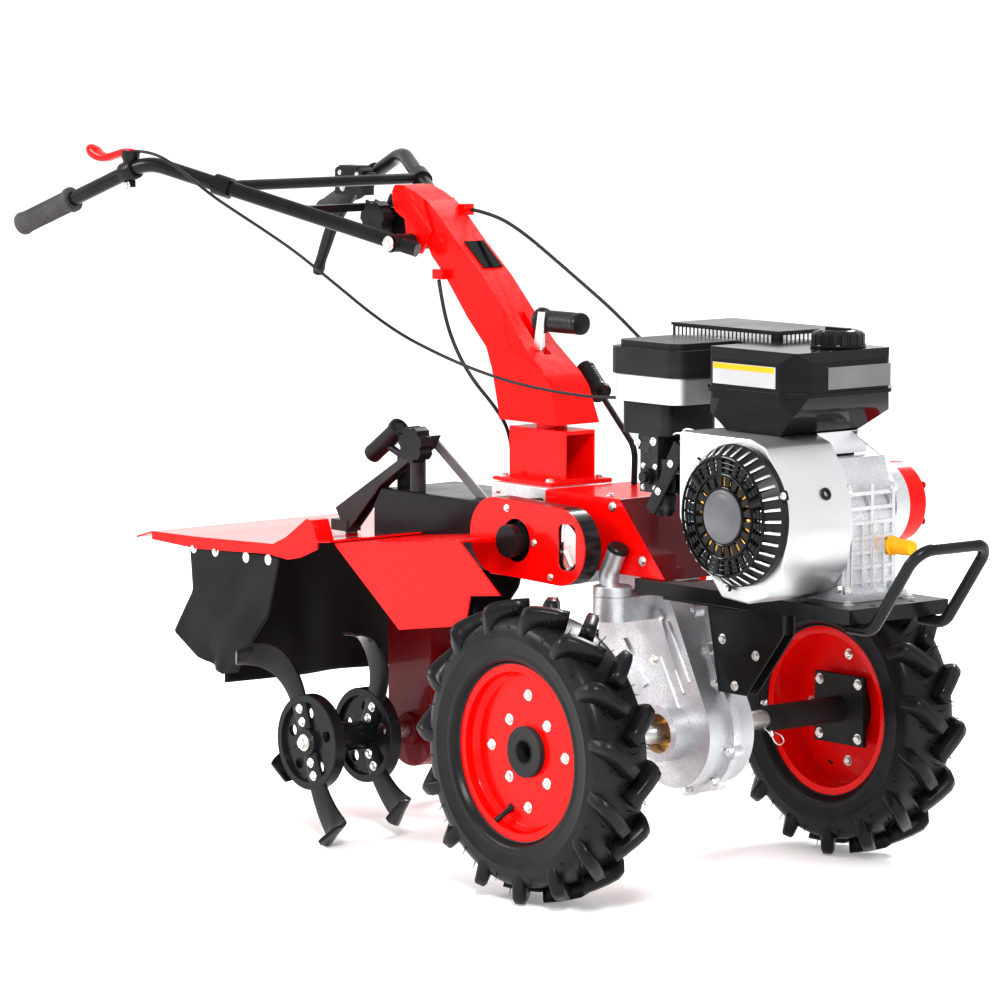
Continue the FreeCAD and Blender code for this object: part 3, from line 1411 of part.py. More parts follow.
def make_flaps():
    """Rubber skirt behind the tines and the two flaps at the hood's sides."""
    wall = D.skirt_wall
    slope = (D.hood_knee_z - D.hood_mid_z) / (D.hood_knee_x - D.hood_mid_x)
    skirt = new_body("rear_flap")
    half, notch = D.hood_half - D.sheet_wall - wall - 1, 2 * wall
    x = D.skirt_x
    top = D.hood_mid_z + slope * (x - D.hood_mid_x) - D.sheet_wall - D.seat_gap
    low = D.skirt_low
    pad(skirt, "YZ_Plane", [(-half, top), (half, top), (half, low + notch), (half - notch, low),
                            (notch - half, low), (-half, low + notch)], x, x + wall)
    keep(skirt, "rear_flap")
    for name, side in SIDES:
        flap = new_body("side_flap_" + name)
        outer = D.hood_half - D.sheet_wall - D.seat_gap
        low_y, high_y = (outer - wall, outer) if side > 0 else (-outer, wall - outer)
        pad(flap, "XZ_Plane", list(FLAP_EDGE) + [(x, top)], low_y, high_y)
        keep(flap, "side_flap_" + name)


ARM_Y = -66                 # middle plane of the depth arm
ARM_OUTLINE = ((-555, 651), (-804, 512), (-776, 472), (-700, 546), (-684, 560), (-569, 629))
ARM_HOLLOW = ((-560, 640), (-790, 499), (-770, 466), (-566, 622))
KNOB_SPOT = (-569, 637)     # x and z of the depth knob
STRUT_ENDS = ((-575, 638), (-440, 548))
DEPTH_GRIP = ((-752, 603), (-679, 652))


def make_depth_arm():
    """Tapering channel from a bracket on the hood up to the adjusting knob, and the knob's post."""
    half, wall = float(D.arm_half), float(D.sheet_wall)
    arm = plate_y(ARM_OUTLINE, ARM_Y - half, ARM_Y + half)
    inside = plate_y(ARM_HOLLOW, ARM_Y - half + wall, ARM_Y + half - wall)
    low = float(D.hood_knee_z) + 1
    bracket = box_between((-812, -770), (ARM_Y - half - wall, ARM_Y + half + wall),
                          (low, low + 6 * wall))
    post = Part.makeCylinder(half + 1, 8 * half, vector(-600, ARM_Y, D.housing_top + D.seat_gap),
                             Vector(0, 0, 1))
    whole = arm.cut(inside).fuse([bracket, post])
    keep(set_shape("depth_arm", whole.removeSplitter()), "depth_arm")


def fluted(knob, middle, axis, reach):
    """A hand knob with round flutes cut along its edge."""
    side = Vector(0, 0, 1) * reach
    groove = Part.makeCylinder(reach / 5, 2 * reach, middle + side - axis * reach, axis)
    turns = [360 * index / KNOB_FLUTES for index in range(KNOB_FLUTES)]
    return knob.cut([groove.rotated(middle, axis, turn_by) for turn_by in turns])


def make_depth_knob():
    """Fluted knob with its stem, in front of the arm's upper end."""
    x, z = KNOB_SPOT
    radius, thick, stem = float(D.knob_radius), float(D.knob_depth), float(D.knob_stem)
    face = ARM_Y - float(D.arm_half) - float(D.seat_gap)
    start, way = face - stem / 2 - thick, Vector(0, 1, 0)
    middle = Vector(x, start, z)
    body = fluted(cylinder_y(x, z, radius, start, start + thick), middle, way, radius + 2)
    body = body.fuse(cylinder_y(x, z, stem, start + thick - 1, face))
    keep(set_shape("depth_knob", body.removeSplitter()), "depth_knob")


def make_depth_strut():
    """Flat strut from the knob down to the housing."""
    (x0, z0), (x1, z1) = STRUT_ENDS
    near = ARM_Y + float(D.arm_half + D.seat_gap)
    wall = 2 * float(D.sheet_wall)
    bar = slanted_bar(Vector(x0, 0, z0), Vector(x1, 0, z1), 16, near, near + wall)
    seat = float(D.housing_top + D.seat_gap)
    cut = box_between((x0, x1 + wall * wall), (near - 1, near + wall + 1), (seat - 100, seat))
    keep(set_shape("depth_strut", bar.cut(cut)), "depth_strut")


def make_depth_lever():
    """Leaning grip on a bracket of the tiller housing."""
    y, half = ARM_Y + 26, float(D.arm_half)
    bracket = box_between((-672, -648), (y - half, y + half), (D.housing_top + D.seat_gap, 612))
    base, tip = (Vector(x, y, z) for x, z in DEPTH_GRIP)
    grip = Part.makeCylinder(half + 3, (tip - base).Length, base, tip - base)
    stem = Part.makeCylinder(half / 2, 80, Vector(-652, y, 600), Vector(-70, 0, 24))
    keep(set_shape("depth_lever", grip.fuse([bracket, stem]).removeSplitter()), "depth_lever")


make_tiller_housing()
make_drive_leg()
make_drive_tube()
make_shield()
make_hood()
make_flaps()


# ------------------------------------------------------------------ rotor
TINE_WIDTHS = ((0.0, 0.86), (0.35, 1.04), (0.7, 1.0), (1.0, 0.8))      # shares of the width
TINES = ((-1, "disc_outer_y", (-71, 109)), (-1, "disc_inner_y", (62, -58, 182)),
         (1, "disc_inner_y", (74, -46, 194)), (1, "disc_outer_y", (-153, 27)))


def tine(root, start, side):
    """One L-shaped tine: a stem that sweeps back in its plane and a tapered end bent sideways."""
    reach, thick, wide = float(D.rotor_tip), float(D.tine_wall), float(D.tine_width) / 2
    tip = TINE_WIDTHS[-1][1] * wide
    crown = math.sqrt(reach * reach - tip * tip)
    sweep, hub = math.radians(float(D.tine_sweep)), 26
    low = min(start, start + side * thick)

    def ridge(sign):
        points = []
        for part, share in TINE_WIDTHS:
            radius, half = hub + (crown - hub) * part, share * wide
            lean = sweep * part * part
            points.append(Vector(radius * math.cos(lean) - sign * half * math.sin(lean), low,
                                 radius * math.sin(lean) + sign * half * math.cos(lean)))
        return points

    outline = ridge(1) + ridge(-1)[::-1]
    stem = Part.Face(Part.makePolygon(outline + outline[:1])).extrude(Vector(0, thick, 0))
    end = start + side * float(D.tine_reach)
    shoulder = start + side * 0.7 * float(D.tine_reach)
    corners = [Vector(crown - thick, start, -tip), Vector(crown - thick, shoulder, -tip),
               Vector(crown - thick, end, 0), Vector(crown - thick, end, tip),
               Vector(crown - thick, start, tip)]
    foot = Part.Face(Part.makePolygon(corners + corners[:1])).extrude(Vector(thick, 0, 0))
    foot.rotate(Vector(), Vector(0, 1, 0), -math.degrees(sweep))
    whole = stem.fuse(foot)
    whole.rotate(Vector(), Vector(0, 1, 0), -root)
    whole.translate(vector(D.rotor_x, 0, D.rotor_z))
    return whole


def rotor_disc(middle):
    """A flange disc with a thick rim and a ring of holes."""
    x, z = float(D.rotor_x), float(D.rotor_z)
    radius, thick = float(D.disc_radius), float(D.disc_wall)
    plate = cylinder_y(x, z, radius, middle - thick / 2, middle + thick / 2)
    rim = cylinder_y(x, z, radius, middle - 1.4 * thick, middle + 1.4 * thick)
    rim = rim.cut(cylinder_y(x, z, radius - 1.5 * thick, middle - 2 * thick, middle + 2 * thick))
    hole = cylinder_y(x, z + 0.6 * radius, 10, middle - thick, middle + thick)
    axle, way = Vector(x, 0, z), Vector(0, 1, 0)
    holes = [hole.rotated(axle, way, 360 * index / DISC_HOLES) for index in range(DISC_HOLES)]
    return plate.cut(holes).fuse(rim)


def make_rotor():
    """Shaft, flange discs, hubs and tines, welded and bolted up as one reel."""
    x, z = float(D.rotor_x), float(D.rotor_z)
    half, thick = float(D.rotor_half), float(D.disc_wall)
    shaft = cylinder_y(x, z, float(D.rotor_shaft), -half, half)
    keep(set_shape("rotor_shaft", shaft), "rotor_shaft")
    bore = float(D.rotor_shaft + D.shaft_play / 2)
    for name, side in SIDES:
        pieces = []
        start, end = sorted((side * 112.0, side * (half - 4)))
        pieces.append(cylinder_y(x, z, 23, start, end))
        for disc in (D.disc_outer_y, D.disc_inner_y):
            middle = side * float(disc)
            pieces.append(rotor_disc(middle))
        for tine_side, disc, roots in TINES:
            if tine_side == side:
                at = side * (getattr(D, disc).value + thick / 2 - 1)
                pieces += [tine(root, at, side) for root in roots]
        reel = pieces[0].fuse(pieces[1:]).cut(cylinder_y(x, z, bore, start - 1, end + 1))
        keep(set_shape("tines_" + name, reel.removeSplitter()), "tines_" + name)


make_depth_arm()
make_depth_knob()
make_depth_strut()
make_depth_lever()
make_rotor()


# ------------------------------------------------------------------ handlebar
SECTOR_SPREAD = (-19, -6, 8, 22)        # degrees about the line to the lock bolt
SLOT_SPREAD = (-16, 0, 16)
LOCK_PLATE = ((-14, -18), (14, -18), (14, 16), (-14, 20), (-50, 30), (-50, 14))
YOKE_BAR_X, YOKE_BAR_Z = (-62, -38), (12, 24)               # from the lock bolt


def fan_slab(x, z, spread, arm, tilt, half):
    """A fan-shaped slab about the pivot, from the middle plane to both sides."""
    corners = [Vector(x, -half, z)]
    for turn_by in spread:
        lean = math.radians(turn_by) + math.pi - tilt
        corners.append(Vector(x + 2 * arm * math.cos(lean), -half, z + 2 * arm * math.sin(lean)))
    face = Part.Face(Part.makePolygon(corners + corners[:1]))
    return face.extrude(Vector(0, 2 * half, 0))


def make_head_bracket():
    """The pivot bolt through the column's ears, with the slotted quadrant."""
    x, z = on_bars(D.pivot_x)
    lock_x, lock_z = on_bars(D.lock_x)
    inner, reach = float(D.column_half_top - 1 - D.seat_gap), float(D.pivot_reach)
    pieces = [cylinder_y(x, z, float(D.pivot_bolt), -reach, reach),
              cylinder_y(x, z, 2 * float(D.pivot_bolt), -inner, inner)]
    arm, half = math.hypot(x - lock_x, lock_z - z), float(D.quadrant_half)
    tilt = math.atan2(lock_z - z, x - lock_x)
    sector = cylinder_y(x, z, arm + float(D.quadrant_rim), -half, half)
    sector = sector.common(fan_slab(x, z, SECTOR_SPREAD, arm, tilt, half))
    slot = float(D.lock_bolt + D.lock_play)
    ring = cylinder_y(x, z, arm + slot, -half, half).cut(cylinder_y(x, z, arm - slot, -half, half))
    sector = sector.cut(ring.common(fan_slab(x, z, SLOT_SPREAD, arm, tilt, half)))
    bracket = sector.fuse(pieces)
    keep(set_shape("head_bracket", bracket.removeSplitter()), "head_bracket")


def make_handlebar():
    """Both bars with their pivot bosses and the yoke plates that join them."""
    radius = float(D.tube_radius)
    grip = vector(D.grip_x, D.grip_y, D.grip_z)
    bend = vector(D.bend_x, D.bend_y, D.bend_z)
    nose = bar_point(float(D.bar_front))
    pivot_x, pivot_z = on_bars(D.pivot_x)
    boss_gap = 6
    inner, outer = float(D.ear_wall + D.column_half_top) + boss_gap, float(D.pivot_reach) - 4
    lock_x, lock_z = on_bars(D.lock_x)
    cheek, wall = float(D.quadrant_half + D.lock_cheek), float(D.lock_plate)
    outline = [(lock_x + along, lock_z + up) for along, up in LOCK_PLATE]
    pieces = []
    for side in (-1, 1):
        points = [across(grip, side), across(bend, side), across(nose, side)]
        pieces.append(swept_rod(points, [float(D.bend_radius)], radius))
        low, high = sorted((side * inner, side * outer))
        pieces.append(cylinder_y(pivot_x, pivot_z, float(D.boss_reach), low, high))
        low, high = sorted((side * cheek, side * (cheek + wall)))
        pieces.append(plate_y(outline, low, high))
    wide = bar_point(lock_x + LOCK_PLATE[-1][0]).y
    pieces.append(box_between([lock_x + along for along in YOKE_BAR_X], (-wide, wide),
                              [lock_z + up for up in YOKE_BAR_Z]))
    pieces.append(cylinder_y(lock_x, lock_z, float(D.lock_bolt), -cheek - 2 * wall,
                             cheek + 2 * wall))
    bars = pieces[0].fuse(pieces[1:])
    bore = float(D.pivot_bolt + D.shaft_play)
    bars = bars.cut(cylinder_y(pivot_x, pivot_z, bore, -outer - radius, outer + radius))
    keep(set_shape("handlebar", bars.removeSplitter()), "handlebar")


def grip_way(side):
    """End of a bar and the direction of its grip."""
    grip = vector(D.grip_x, D.grip_y, D.grip_z)
    bend = vector(D.bend_x, D.bend_y, D.bend_z)
    return across(grip, side), across(bend - grip, side).normalize()


def bar_clamp(middle, way, length):
    """A clamp round a bar, and the room for the bar in it."""
    ring = Part.makeCylinder(float(D.tube_radius + D.clamp_wall), length, middle - way * length / 2,
                             way)
    room = Part.makeCylinder(float(D.tube_radius) + PRESS_PLAY, 2 * length, middle - way * length,
                             way)
    return ring, room


def make_grips():
    """Sleeves over the bars' ends, each with a collar at its inner end."""
    length, radius = float(D.grip_length), float(D.grip_radius)
    collar, end = float(D.grip_collar), 2 * float(D.sheet_wall)
    for name, side in SIDES:
        tip, way = grip_way(side)
        start = tip - way * end
        sleeve = Part.makeCylinder(radius, length, start, way)
        ring = Part.makeCylinder(radius + collar / 2, collar, start + way * (length - collar), way)
        bore = Part.makeCylinder(float(D.tube_radius) + PRESS_PLAY, length + collar, tip, way)
        keep(set_shape("grip_" + name, sleeve.fuse(ring).cut(bore).removeSplitter()),
             "grip_" + name)


def make_crossbar():
    """Bar clamped between the two tubes, with a clamp round each tube."""
    left = bar_point(float(D.crossbar_x))
    reach = left.y - float(D.tube_radius) + PRESS_PLAY
    bar = cylinder_y(left.x, left.z, float(D.crossbar_radius), -reach, reach)
    along = (bar_point(float(D.bar_front)) - left).normalize()
    clamps = [bar_clamp(across(left, side), across(along, side), float(D.clamp_length))
              for side in (-1, 1)]
    whole = bar.fuse([ring for ring, room in clamps]).cut([room for ring, room in clamps])
    keep(set_shape("crossbar", whole.removeSplitter()), "crossbar")


def make_lock_knob():
    lock_x, lock_z = on_bars(D.lock_x)
    low, radius = -float(D.quadrant_half + 14), float(D.knob_radius) + 1
    middle, way = Vector(lock_x, low, lock_z), Vector(0, 1, 0)
    knob = fluted(cylinder_y(lock_x, lock_z, radius, low - 22, low), middle, way, radius + 2)
    bore = cylinder_y(lock_x, lock_z, float(D.lock_bolt) + PRESS_PLAY, low - 6, low + 1)
    keep(set_shape("lock_knob", knob.cut(bore).removeSplitter()), "lock_knob")


THROTTLE_AT, THROTTLE_ARM = 268, (-108, 6)          # along the bar, and the lever's two ends
CLUTCH_AT = 190
CLUTCH_ROUTE = ((0, -42, -28), (-64, -44, -88), (-98, -46, -170))      # from the perch's clamp


def make_throttle_lever():
    """Red thumb lever on a clamp round the right bar."""
    start, way = grip_way(-1)
    middle = start + way * THROTTLE_AT
    ring, room = bar_clamp(middle, way, float(D.clamp_length))
    post = Part.makeCylinder(float(D.lever_post), 30, middle + Vector(0, 0, 10), Vector(0.1, 0, 1))
    half = float(D.lever_post) - 2
    lever = box_between([middle.x + end for end in THROTTLE_ARM],
                        (middle.y - half, middle.y + half), (middle.z + 30, middle.z + 42))
    keep(set_shape("throttle_lever", ring.fuse([post, lever]).cut(room).removeSplitter()),
         "throttle_lever")


def make_clutch_lever():
    """Perch box on the left bar with the hand lever hanging below it."""
    start, way = grip_way(1)
    middle = start + way * CLUTCH_AT
    ring, room = bar_clamp(middle, way, float(D.clamp_length) + 10)
    perch = box_between((middle.x - 36, middle.x + 44), (middle.y - 58, middle.y - 27),
                        (middle.z - 34, middle.z + 20))
    neck = Part.makeCylinder(float(D.lever_post) - 1, 34, middle, Vector(0, -1, 0))
    points = [middle + Vector(*point) for point in CLUTCH_ROUTE]
    lever = swept_rod(points, [60], float(D.lever_post) - 2)
    keep(set_shape("clutch_lever", ring.fuse([perch, neck, lever]).cut(room).removeSplitter()),
         "clutch_lever")


make_head_bracket()
make_handlebar()
make_grips()
make_crossbar()
make_lock_knob()
make_throttle_lever()
make_clutch_lever()


# ------------------------------------------------------------------ cables
THROTTLE_ROUTE = (
    (-1085, -280, 1099), (-1027, -284, 1101), (-974, -266, 1072), (-930, -239, 1032),
    (-875, -221, 1002), (-817, -209, 975), (-757, -201, 948), (-698, -199, 921),
    (-640, -192, 890), (-592, -169, 852), (-543, -143, 818), (-485, -126, 795),
    (-422, -119, 778), (-357, -117, 766), (-292, -118, 758), (-227, -119, 753),
    (-162, -118, 750), (-96, -117, 749), (-30.3, -118, 754))
GEAR_ROUTE = (
    (-580, -38, 901), (-562, -42, 845), (-538, -36, 788), (-508, -26, 742),
    (-470, -14, 704), (-440, -8, 668), (-431, -6, 620), (-434, -5, 556.6))
ENGINE_ROUTE = (
    (-588, 38, 1012), (-540, 46, 1006), (-478, 54, 980), (-412, 60, 943),
    (-341, 62, 905), (-269, 63, 867), (-201, 62, 826), (-134, 61, 786), (-60, 62, 758))


def make_cable(label, route, diameter):
    """A cable as one tube: straight runs joined by tangent arcs."""
    points = [Vector(*point) for point in route]
    radii = []
    for before, point, after in zip(points, points[1:], points[2:]):
        inward, outward = before - point, after - point
        half = inward.getAngle(outward) / 2
        radii.append(0.45 * min(inward.Length, outward.Length) * math.tan(half))
    tube = swept_rod(points, radii, diameter / 2)
    keep(set_shape(label, tube), label)
    length = bent_path(points, radii).Length
    section = math.pi * diameter * diameter / 4
    print("%s: length %.0f, tightest arc %.0f, volume over section by length %.3f"
          % (label, length, min(radii), tube.Volume / (section * length)))


make_cable("throttle_cable", THROTTLE_ROUTE, 5.0)
make_cable("gear_cable", GEAR_ROUTE, 6.0)
make_cable("engine_cable", ENGINE_ROUTE, 6.0)


def finish():
    doc.recompute()
    for obj in doc.Objects:
        if "Invalid" in obj.State or "Error" in obj.State:
            raise RuntimeError("%s did not build: %s" % (obj.Label, obj.State))
    os.makedirs("parts", exist_ok=True)
    for obj in SUB_PARTS:
        if obj.Shape.isNull() or not obj.Shape.isValid():
            raise RuntimeError("%s has no valid shape" % obj.Label)
        obj.Shape.exportStep("parts/%s.step" % obj.Label)
        box = obj.Shape.BoundBox
        print("%-18s %2d solids %9.0f mm3" % (obj.Label, len(obj.Shape.Solids), obj.Shape.Volume),
              [round(v) for v in (box.XMin, box.XMax, box.YMin, box.YMax, box.ZMin, box.ZMax)])


finish()
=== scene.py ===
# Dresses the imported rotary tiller: finishes on the solids, lugged tyres, rubber flaps,
# control cables, fasteners, louvres and small trim, with a plain pale studio round it.
import json
import math

import bmesh
import bpy
from mathutils import Matrix, Vector


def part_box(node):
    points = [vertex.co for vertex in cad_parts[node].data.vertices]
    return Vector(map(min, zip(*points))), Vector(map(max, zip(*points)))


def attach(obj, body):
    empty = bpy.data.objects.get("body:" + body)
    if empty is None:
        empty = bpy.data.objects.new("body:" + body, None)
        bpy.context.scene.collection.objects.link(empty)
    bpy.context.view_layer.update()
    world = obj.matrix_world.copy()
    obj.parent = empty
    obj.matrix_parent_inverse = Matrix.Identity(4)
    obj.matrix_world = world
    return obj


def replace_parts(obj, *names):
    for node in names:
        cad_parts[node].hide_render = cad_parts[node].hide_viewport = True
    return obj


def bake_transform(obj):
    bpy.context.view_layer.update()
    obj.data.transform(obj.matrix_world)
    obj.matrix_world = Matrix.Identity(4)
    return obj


bl_info = {
    "name": "Rotary tiller",
    "version": (1, 0, 0),
    "blender": (4, 5, 0),
    "location": "View3D > Sidebar > Tiller",
    "description": "Builds the finishes, tyres, flaps, cables and small parts of a walk-behind tiller",
    "category": "Object",
}

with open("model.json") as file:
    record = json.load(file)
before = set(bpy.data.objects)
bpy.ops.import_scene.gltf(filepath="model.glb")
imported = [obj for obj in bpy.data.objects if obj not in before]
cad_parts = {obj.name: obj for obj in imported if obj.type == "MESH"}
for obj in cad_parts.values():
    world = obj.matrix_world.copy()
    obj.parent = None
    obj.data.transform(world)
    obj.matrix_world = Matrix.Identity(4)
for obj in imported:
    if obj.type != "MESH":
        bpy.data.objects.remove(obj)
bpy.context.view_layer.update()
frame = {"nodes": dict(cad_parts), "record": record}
SIDES = (("right", -1), ("left", 1))
AXLE_X = 0.391  # how far ahead of the frame's origin the wheel axle lies
RIGHT, LEFT, UP, AHEAD = Vector((0, -1, 0)), Vector((0, 1, 0)), Vector((0, 0, 1)), Vector((1, 0, 0))


# ------------------------------------------------------------------ shader wiring
class Wire:
    """A value that varies over a surface; arithmetic on it adds Math nodes."""

    def __init__(self, finish, socket):
        self.finish = finish
        self.socket = socket

    def math(self, operation, first, second):
        return self.finish.node("Math", {"operation": operation}, {0: first, 1: second})

    def __add__(self, other):
        return self.math("ADD", self, other)

    __radd__ = __add__

    def __sub__(self, other):
        return self.math("SUBTRACT", self, other)

    def __rsub__(self, other):
        return self.math("SUBTRACT", other, self)

    def __mul__(self, other):
        return self.math("MULTIPLY", self, other)

    __rmul__ = __mul__

    def __gt__(self, other):
        return self.math("GREATER_THAN", self, other)


class Finish:
    """A material in the making, with its node tree and its surface shader."""

    def __init__(self, name, **constants):
        self.material = bpy.data.materials.new(name)
        self.material.use_nodes = True
        self.tree = self.material.node_tree
        self.surface = next(n for n in self.tree.nodes if n.type == "BSDF_PRINCIPLED")
        for socket, value in constants.items():
            self.surface.inputs[socket.replace("_", " ")].default_value = value

    def node(self, kind, settings, inputs, output=0):
        """One node with its settings, then its sockets' values or links."""
        node = self.tree.nodes.new("ShaderNode" + kind)
        for name, value in settings.items():
            if name == "stops":
                self.set_stops(node.color_ramp, value)
            else:
                setattr(node, name, value)
        for name, value in inputs.items():
            self.feed(node.inputs[name], value)
        return Wire(self, node.outputs[output])

    def feed(self, socket, value):
        """Links a wire to a socket, or sets the socket's own value."""
        if isinstance(value, Wire):
            self.tree.links.new(value.socket, socket)
        else:
            socket.default_value = value

    @staticmethod
    def set_stops(ramp, stops):
        """Gives a colour ramp its places and colours."""
        while len(ramp.elements) < len(stops):
            ramp.elements.new(1.0)
        for element, (at, colour) in zip(ramp.elements, stops):
            element.position = at
            element.color = (*colour, 1.0)

    def spot(self):
        """Object coordinates."""
        return self.node("TexCoord", {}, {}, "Object")

    def place(self, scale=(1.0, 1.0, 1.0)):
        """Object coordinates, stretched."""
        return self.node("Mapping", {}, {"Vector": self.spot(), "Scale": scale})

    def part(self, vector, axis):
        """One axis of a vector."""
        return self.node("SeparateXYZ", {}, {"Vector": vector}, axis)

    def facing(self, axis):
        """How far the surface faces along an axis."""
        return self.part(self.node("NewGeometry", {}, {}, "Normal"), axis)

    def noise(self, scale, detail, rough=0.55, where=None):
        """Cloudy noise over the object; a larger scale makes its patches smaller."""
        return self.node("TexNoise", {}, {"Vector": where or self.place(), "Scale": scale,
                                          "Detail": detail, "Roughness": rough})

    def shade(self, factor, stops):
        """A colour ramp along a factor."""
        return self.node("ValToRGB", {"stops": stops}, {"Fac": factor})

    def mix(self, factor, first, second):
        """Blends two colours."""
        node = self.tree.nodes.new("ShaderNodeMix")
        node.data_type = "RGBA"
        for socket, value in ((0, factor), (6, first), (7, second)):
            if not isinstance(value, Wire) and socket:
                value = (*value, 1.0)
            self.feed(node.inputs[socket], value)
        return Wire(self, node.outputs[2])

    def fit(self, value, low, high, to_low=0.0, to_high=1.0):
        """Stretches a range of values to another and clamps it there."""
        return self.node("MapRange", {}, {"Value": value, "From Min": low, "From Max": high,
                                          "To Min": to_low, "To Max": to_high})

    def relief(self, height, depth, strength):
        """Surface relief from a height."""
        bump = self.node("Bump", {}, {"Height": height, "Distance": depth, "Strength": strength})
        self.tree.links.new(bump.socket, self.surface.inputs["Normal"])

    def out(self, **links):
        """Feeds the surface shader and gives the finished material."""
        for socket, value in links.items():
            self.feed(self.surface.inputs[socket.replace("_", " ")], value)
        return self.material


# ------------------------------------------------------------------ finishes
def gloss_paint(name, colour, shadow):
    """Sprayed gloss enamel: faint orange peel, slow colour drift and specks of duller gloss."""
    paint = Finish(name, Coat_Roughness=0.05, Coat_IOR=1.5, Specular_IOR_Level=0.12)
    drift = paint.noise(3.0, 2.0)
    speck = paint.noise(70.0, 2.0)
    paint.relief(paint.noise(420.0, 1.0, 0.4), 0.0003, 0.06)
    return paint.out(Base_Color=paint.mix(paint.fit(drift, 0.35, 0.7), colour, shadow),
                     Roughness=paint.fit(speck, 0.3, 0.7, 0.24, 0.34),
                     Coat_Weight=paint.fit(drift, 0.3, 0.7, 0.25, 0.2))


def satin_paint(name, colour, lighter, rough=(0.34, 0.5)):
    """Powder coat: fine pebbled texture with a soft sheen."""
    paint = Finish(name, Specular_IOR_Level=0.2)
    drift = paint.noise(9.0, 3.0)
    pebble = paint.noise(900.0, 2.0, 0.5)
    paint.relief(pebble, 0.0002, 0.18)
    return paint.out(Base_Color=paint.mix(paint.fit(drift, 0.35, 0.75), colour, lighter),
                     Roughness=paint.fit(drift, 0.3, 0.7, *rough))


def cast_metal(name, colour, darker, grain=320.0, rough=(0.34, 0.5)):
    """Die-cast metal: sandy skin, soft blotches and a brighter rubbed grain."""
    metal = Finish(name, Specular_IOR_Level=0.5)
    blotch = metal.noise(14.0, 4.0)
    sand = metal.noise(grain, 3.0, 0.6)
    metal.relief(sand, 0.0004, 0.32)
    tone = metal.mix(metal.fit(blotch, 0.3, 0.72), colour, darker)
    return metal.out(Base_Color=metal.mix(metal.fit(sand, 0.35, 0.6), darker, tone),
                     Roughness=metal.fit(blotch, 0.3, 0.7, *rough),
                     Metallic=metal.fit(sand, 0.2, 0.6, 0.72, 0.9))


def plated_metal(name, colour, tint):
    """Bright zinc plating with a slight bluish and straw drift."""
    metal = Finish(name, Metallic=1.0)
    drift = metal.noise(40.0, 3.0)
    fine = metal.noise(600.0, 2.0)
    metal.relief(fine, 0.0002, 0.15)
    return metal.out(Base_Color=metal.mix(metal.fit(drift, 0.3, 0.7), colour, tint),
                     Roughness=metal.fit(drift, 0.3, 0.7, 0.22, 0.36))


def moulded_plastic(name, colour, lighter, rough=(0.36, 0.52), spark=700.0, depth=0.12):
    """Moulded plastic: fine spark texture, faint flow marks."""
    plastic = Finish(name, Specular_IOR_Level=0.22)
    flow = plastic.noise(11.0, 2.0, 0.5, plastic.place((1.0, 0.4, 2.2)))
    grain = plastic.noise(spark, 2.0)
    plastic.relief(grain, 0.0003, depth)
    return plastic.out(Base_Color=plastic.mix(plastic.fit(flow, 0.35, 0.75), colour, lighter),
                       Roughness=plastic.fit(flow, 0.3, 0.7, *rough))


def tyre_rubber():
    """Moulded tyre rubber, a little bloomed, with dull dust in patches."""
    rubber = Finish("tyre", Specular_IOR_Level=0.22)
    bloom = rubber.noise(16.0, 4.0)
    grit = rubber.noise(260.0, 3.0)
    rubber.relief(grit, 0.0006, 0.25)
    tone = rubber.shade(bloom, [(0.3, (0.007, 0.007, 0.008)), (0.62, (0.014, 0.014, 0.015)),
                                (0.85, (0.026, 0.026, 0.026))])
    return rubber.out(Base_Color=tone, Roughness=rubber.fit(bloom, 0.3, 0.75, 0.24, 0.42))


def flap_rubber():
    """Sheet rubber: soft sheen, faint rolling marks and scuffs."""
    rubber = Finish("rubber", Specular_IOR_Level=0.12)
    roll = rubber.noise(30.0, 3.0, 0.6, rubber.place((1.0, 1.0, 0.15)))
    scuff = rubber.noise(8.0, 4.0)
    fine = rubber.noise(500.0, 2.0)
    rubber.relief(roll * 0.6 + fine * 0.4, 0.0008, 0.2)
    tone = rubber.mix(rubber.fit(scuff, 0.35, 0.75), (0.009, 0.009, 0.01), (0.024, 0.024, 0.025))
    return rubber.out(Base_Color=tone, Roughness=rubber.fit(scuff, 0.3, 0.7, 0.38, 0.58))


def grip_foam():
    """Grey rubber of the hand grips with a fine knurl."""
    foam = Finish("grip_rubber", Specular_IOR_Level=0.3)
    cells = foam.node("TexVoronoi", {}, {"Vector": foam.place(), "Scale": 420.0}, "Distance")
    tone = foam.noise(18.0, 3.0)
    foam.relief(cells, 0.0008, 0.5)
    return foam.out(Base_Color=foam.mix(foam.fit(tone, 0.3, 0.7), (0.045, 0.045, 0.047),
                                        (0.085, 0.085, 0.088)),
                    Roughness=foam.fit(tone, 0.3, 0.7, 0.6, 0.8))


def hood_enamel(red, deep_red):
    """Red enamel with a clear coat on the faces that look up, where it shines almost white."""
    paint = Finish("hood_red", Coat_Roughness=0.08, Coat_IOR=1.6, Specular_IOR_Level=0.12)
    drift = paint.noise(3.0, 2.0)
    return paint.out(Base_Color=paint.mix(paint.fit(drift, 0.35, 0.7), red, deep_red),
                     Roughness=paint.fit(drift, 0.3, 0.7, 0.24, 0.34),
                     Coat_Weight=0.15 + 0.85 * (paint.facing("Z") > 0.7))


def belt_cover_paint():
    """Red face with a black side wall and lip."""
    paint = Finish("belt_cover_paint", Coat_Roughness=0.05, Coat_IOR=1.5, Specular_IOR_Level=0.15)
    face_thickness = 0.0022
    wall = paint.part(paint.spot(), "Y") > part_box("belt_cover")[0].y + face_thickness
    drift = paint.noise(6.0, 2.0)
    red = paint.mix(drift, (0.84, 0.003, 0.002), (0.76, 0.003, 0.002))
    return paint.out(Base_Color=paint.mix(wall, red, (0.016, 0.015, 0.016)),
                     Roughness=paint.fit(drift, 0.3, 0.7, 0.2, 0.3), Coat_Weight=0.25)


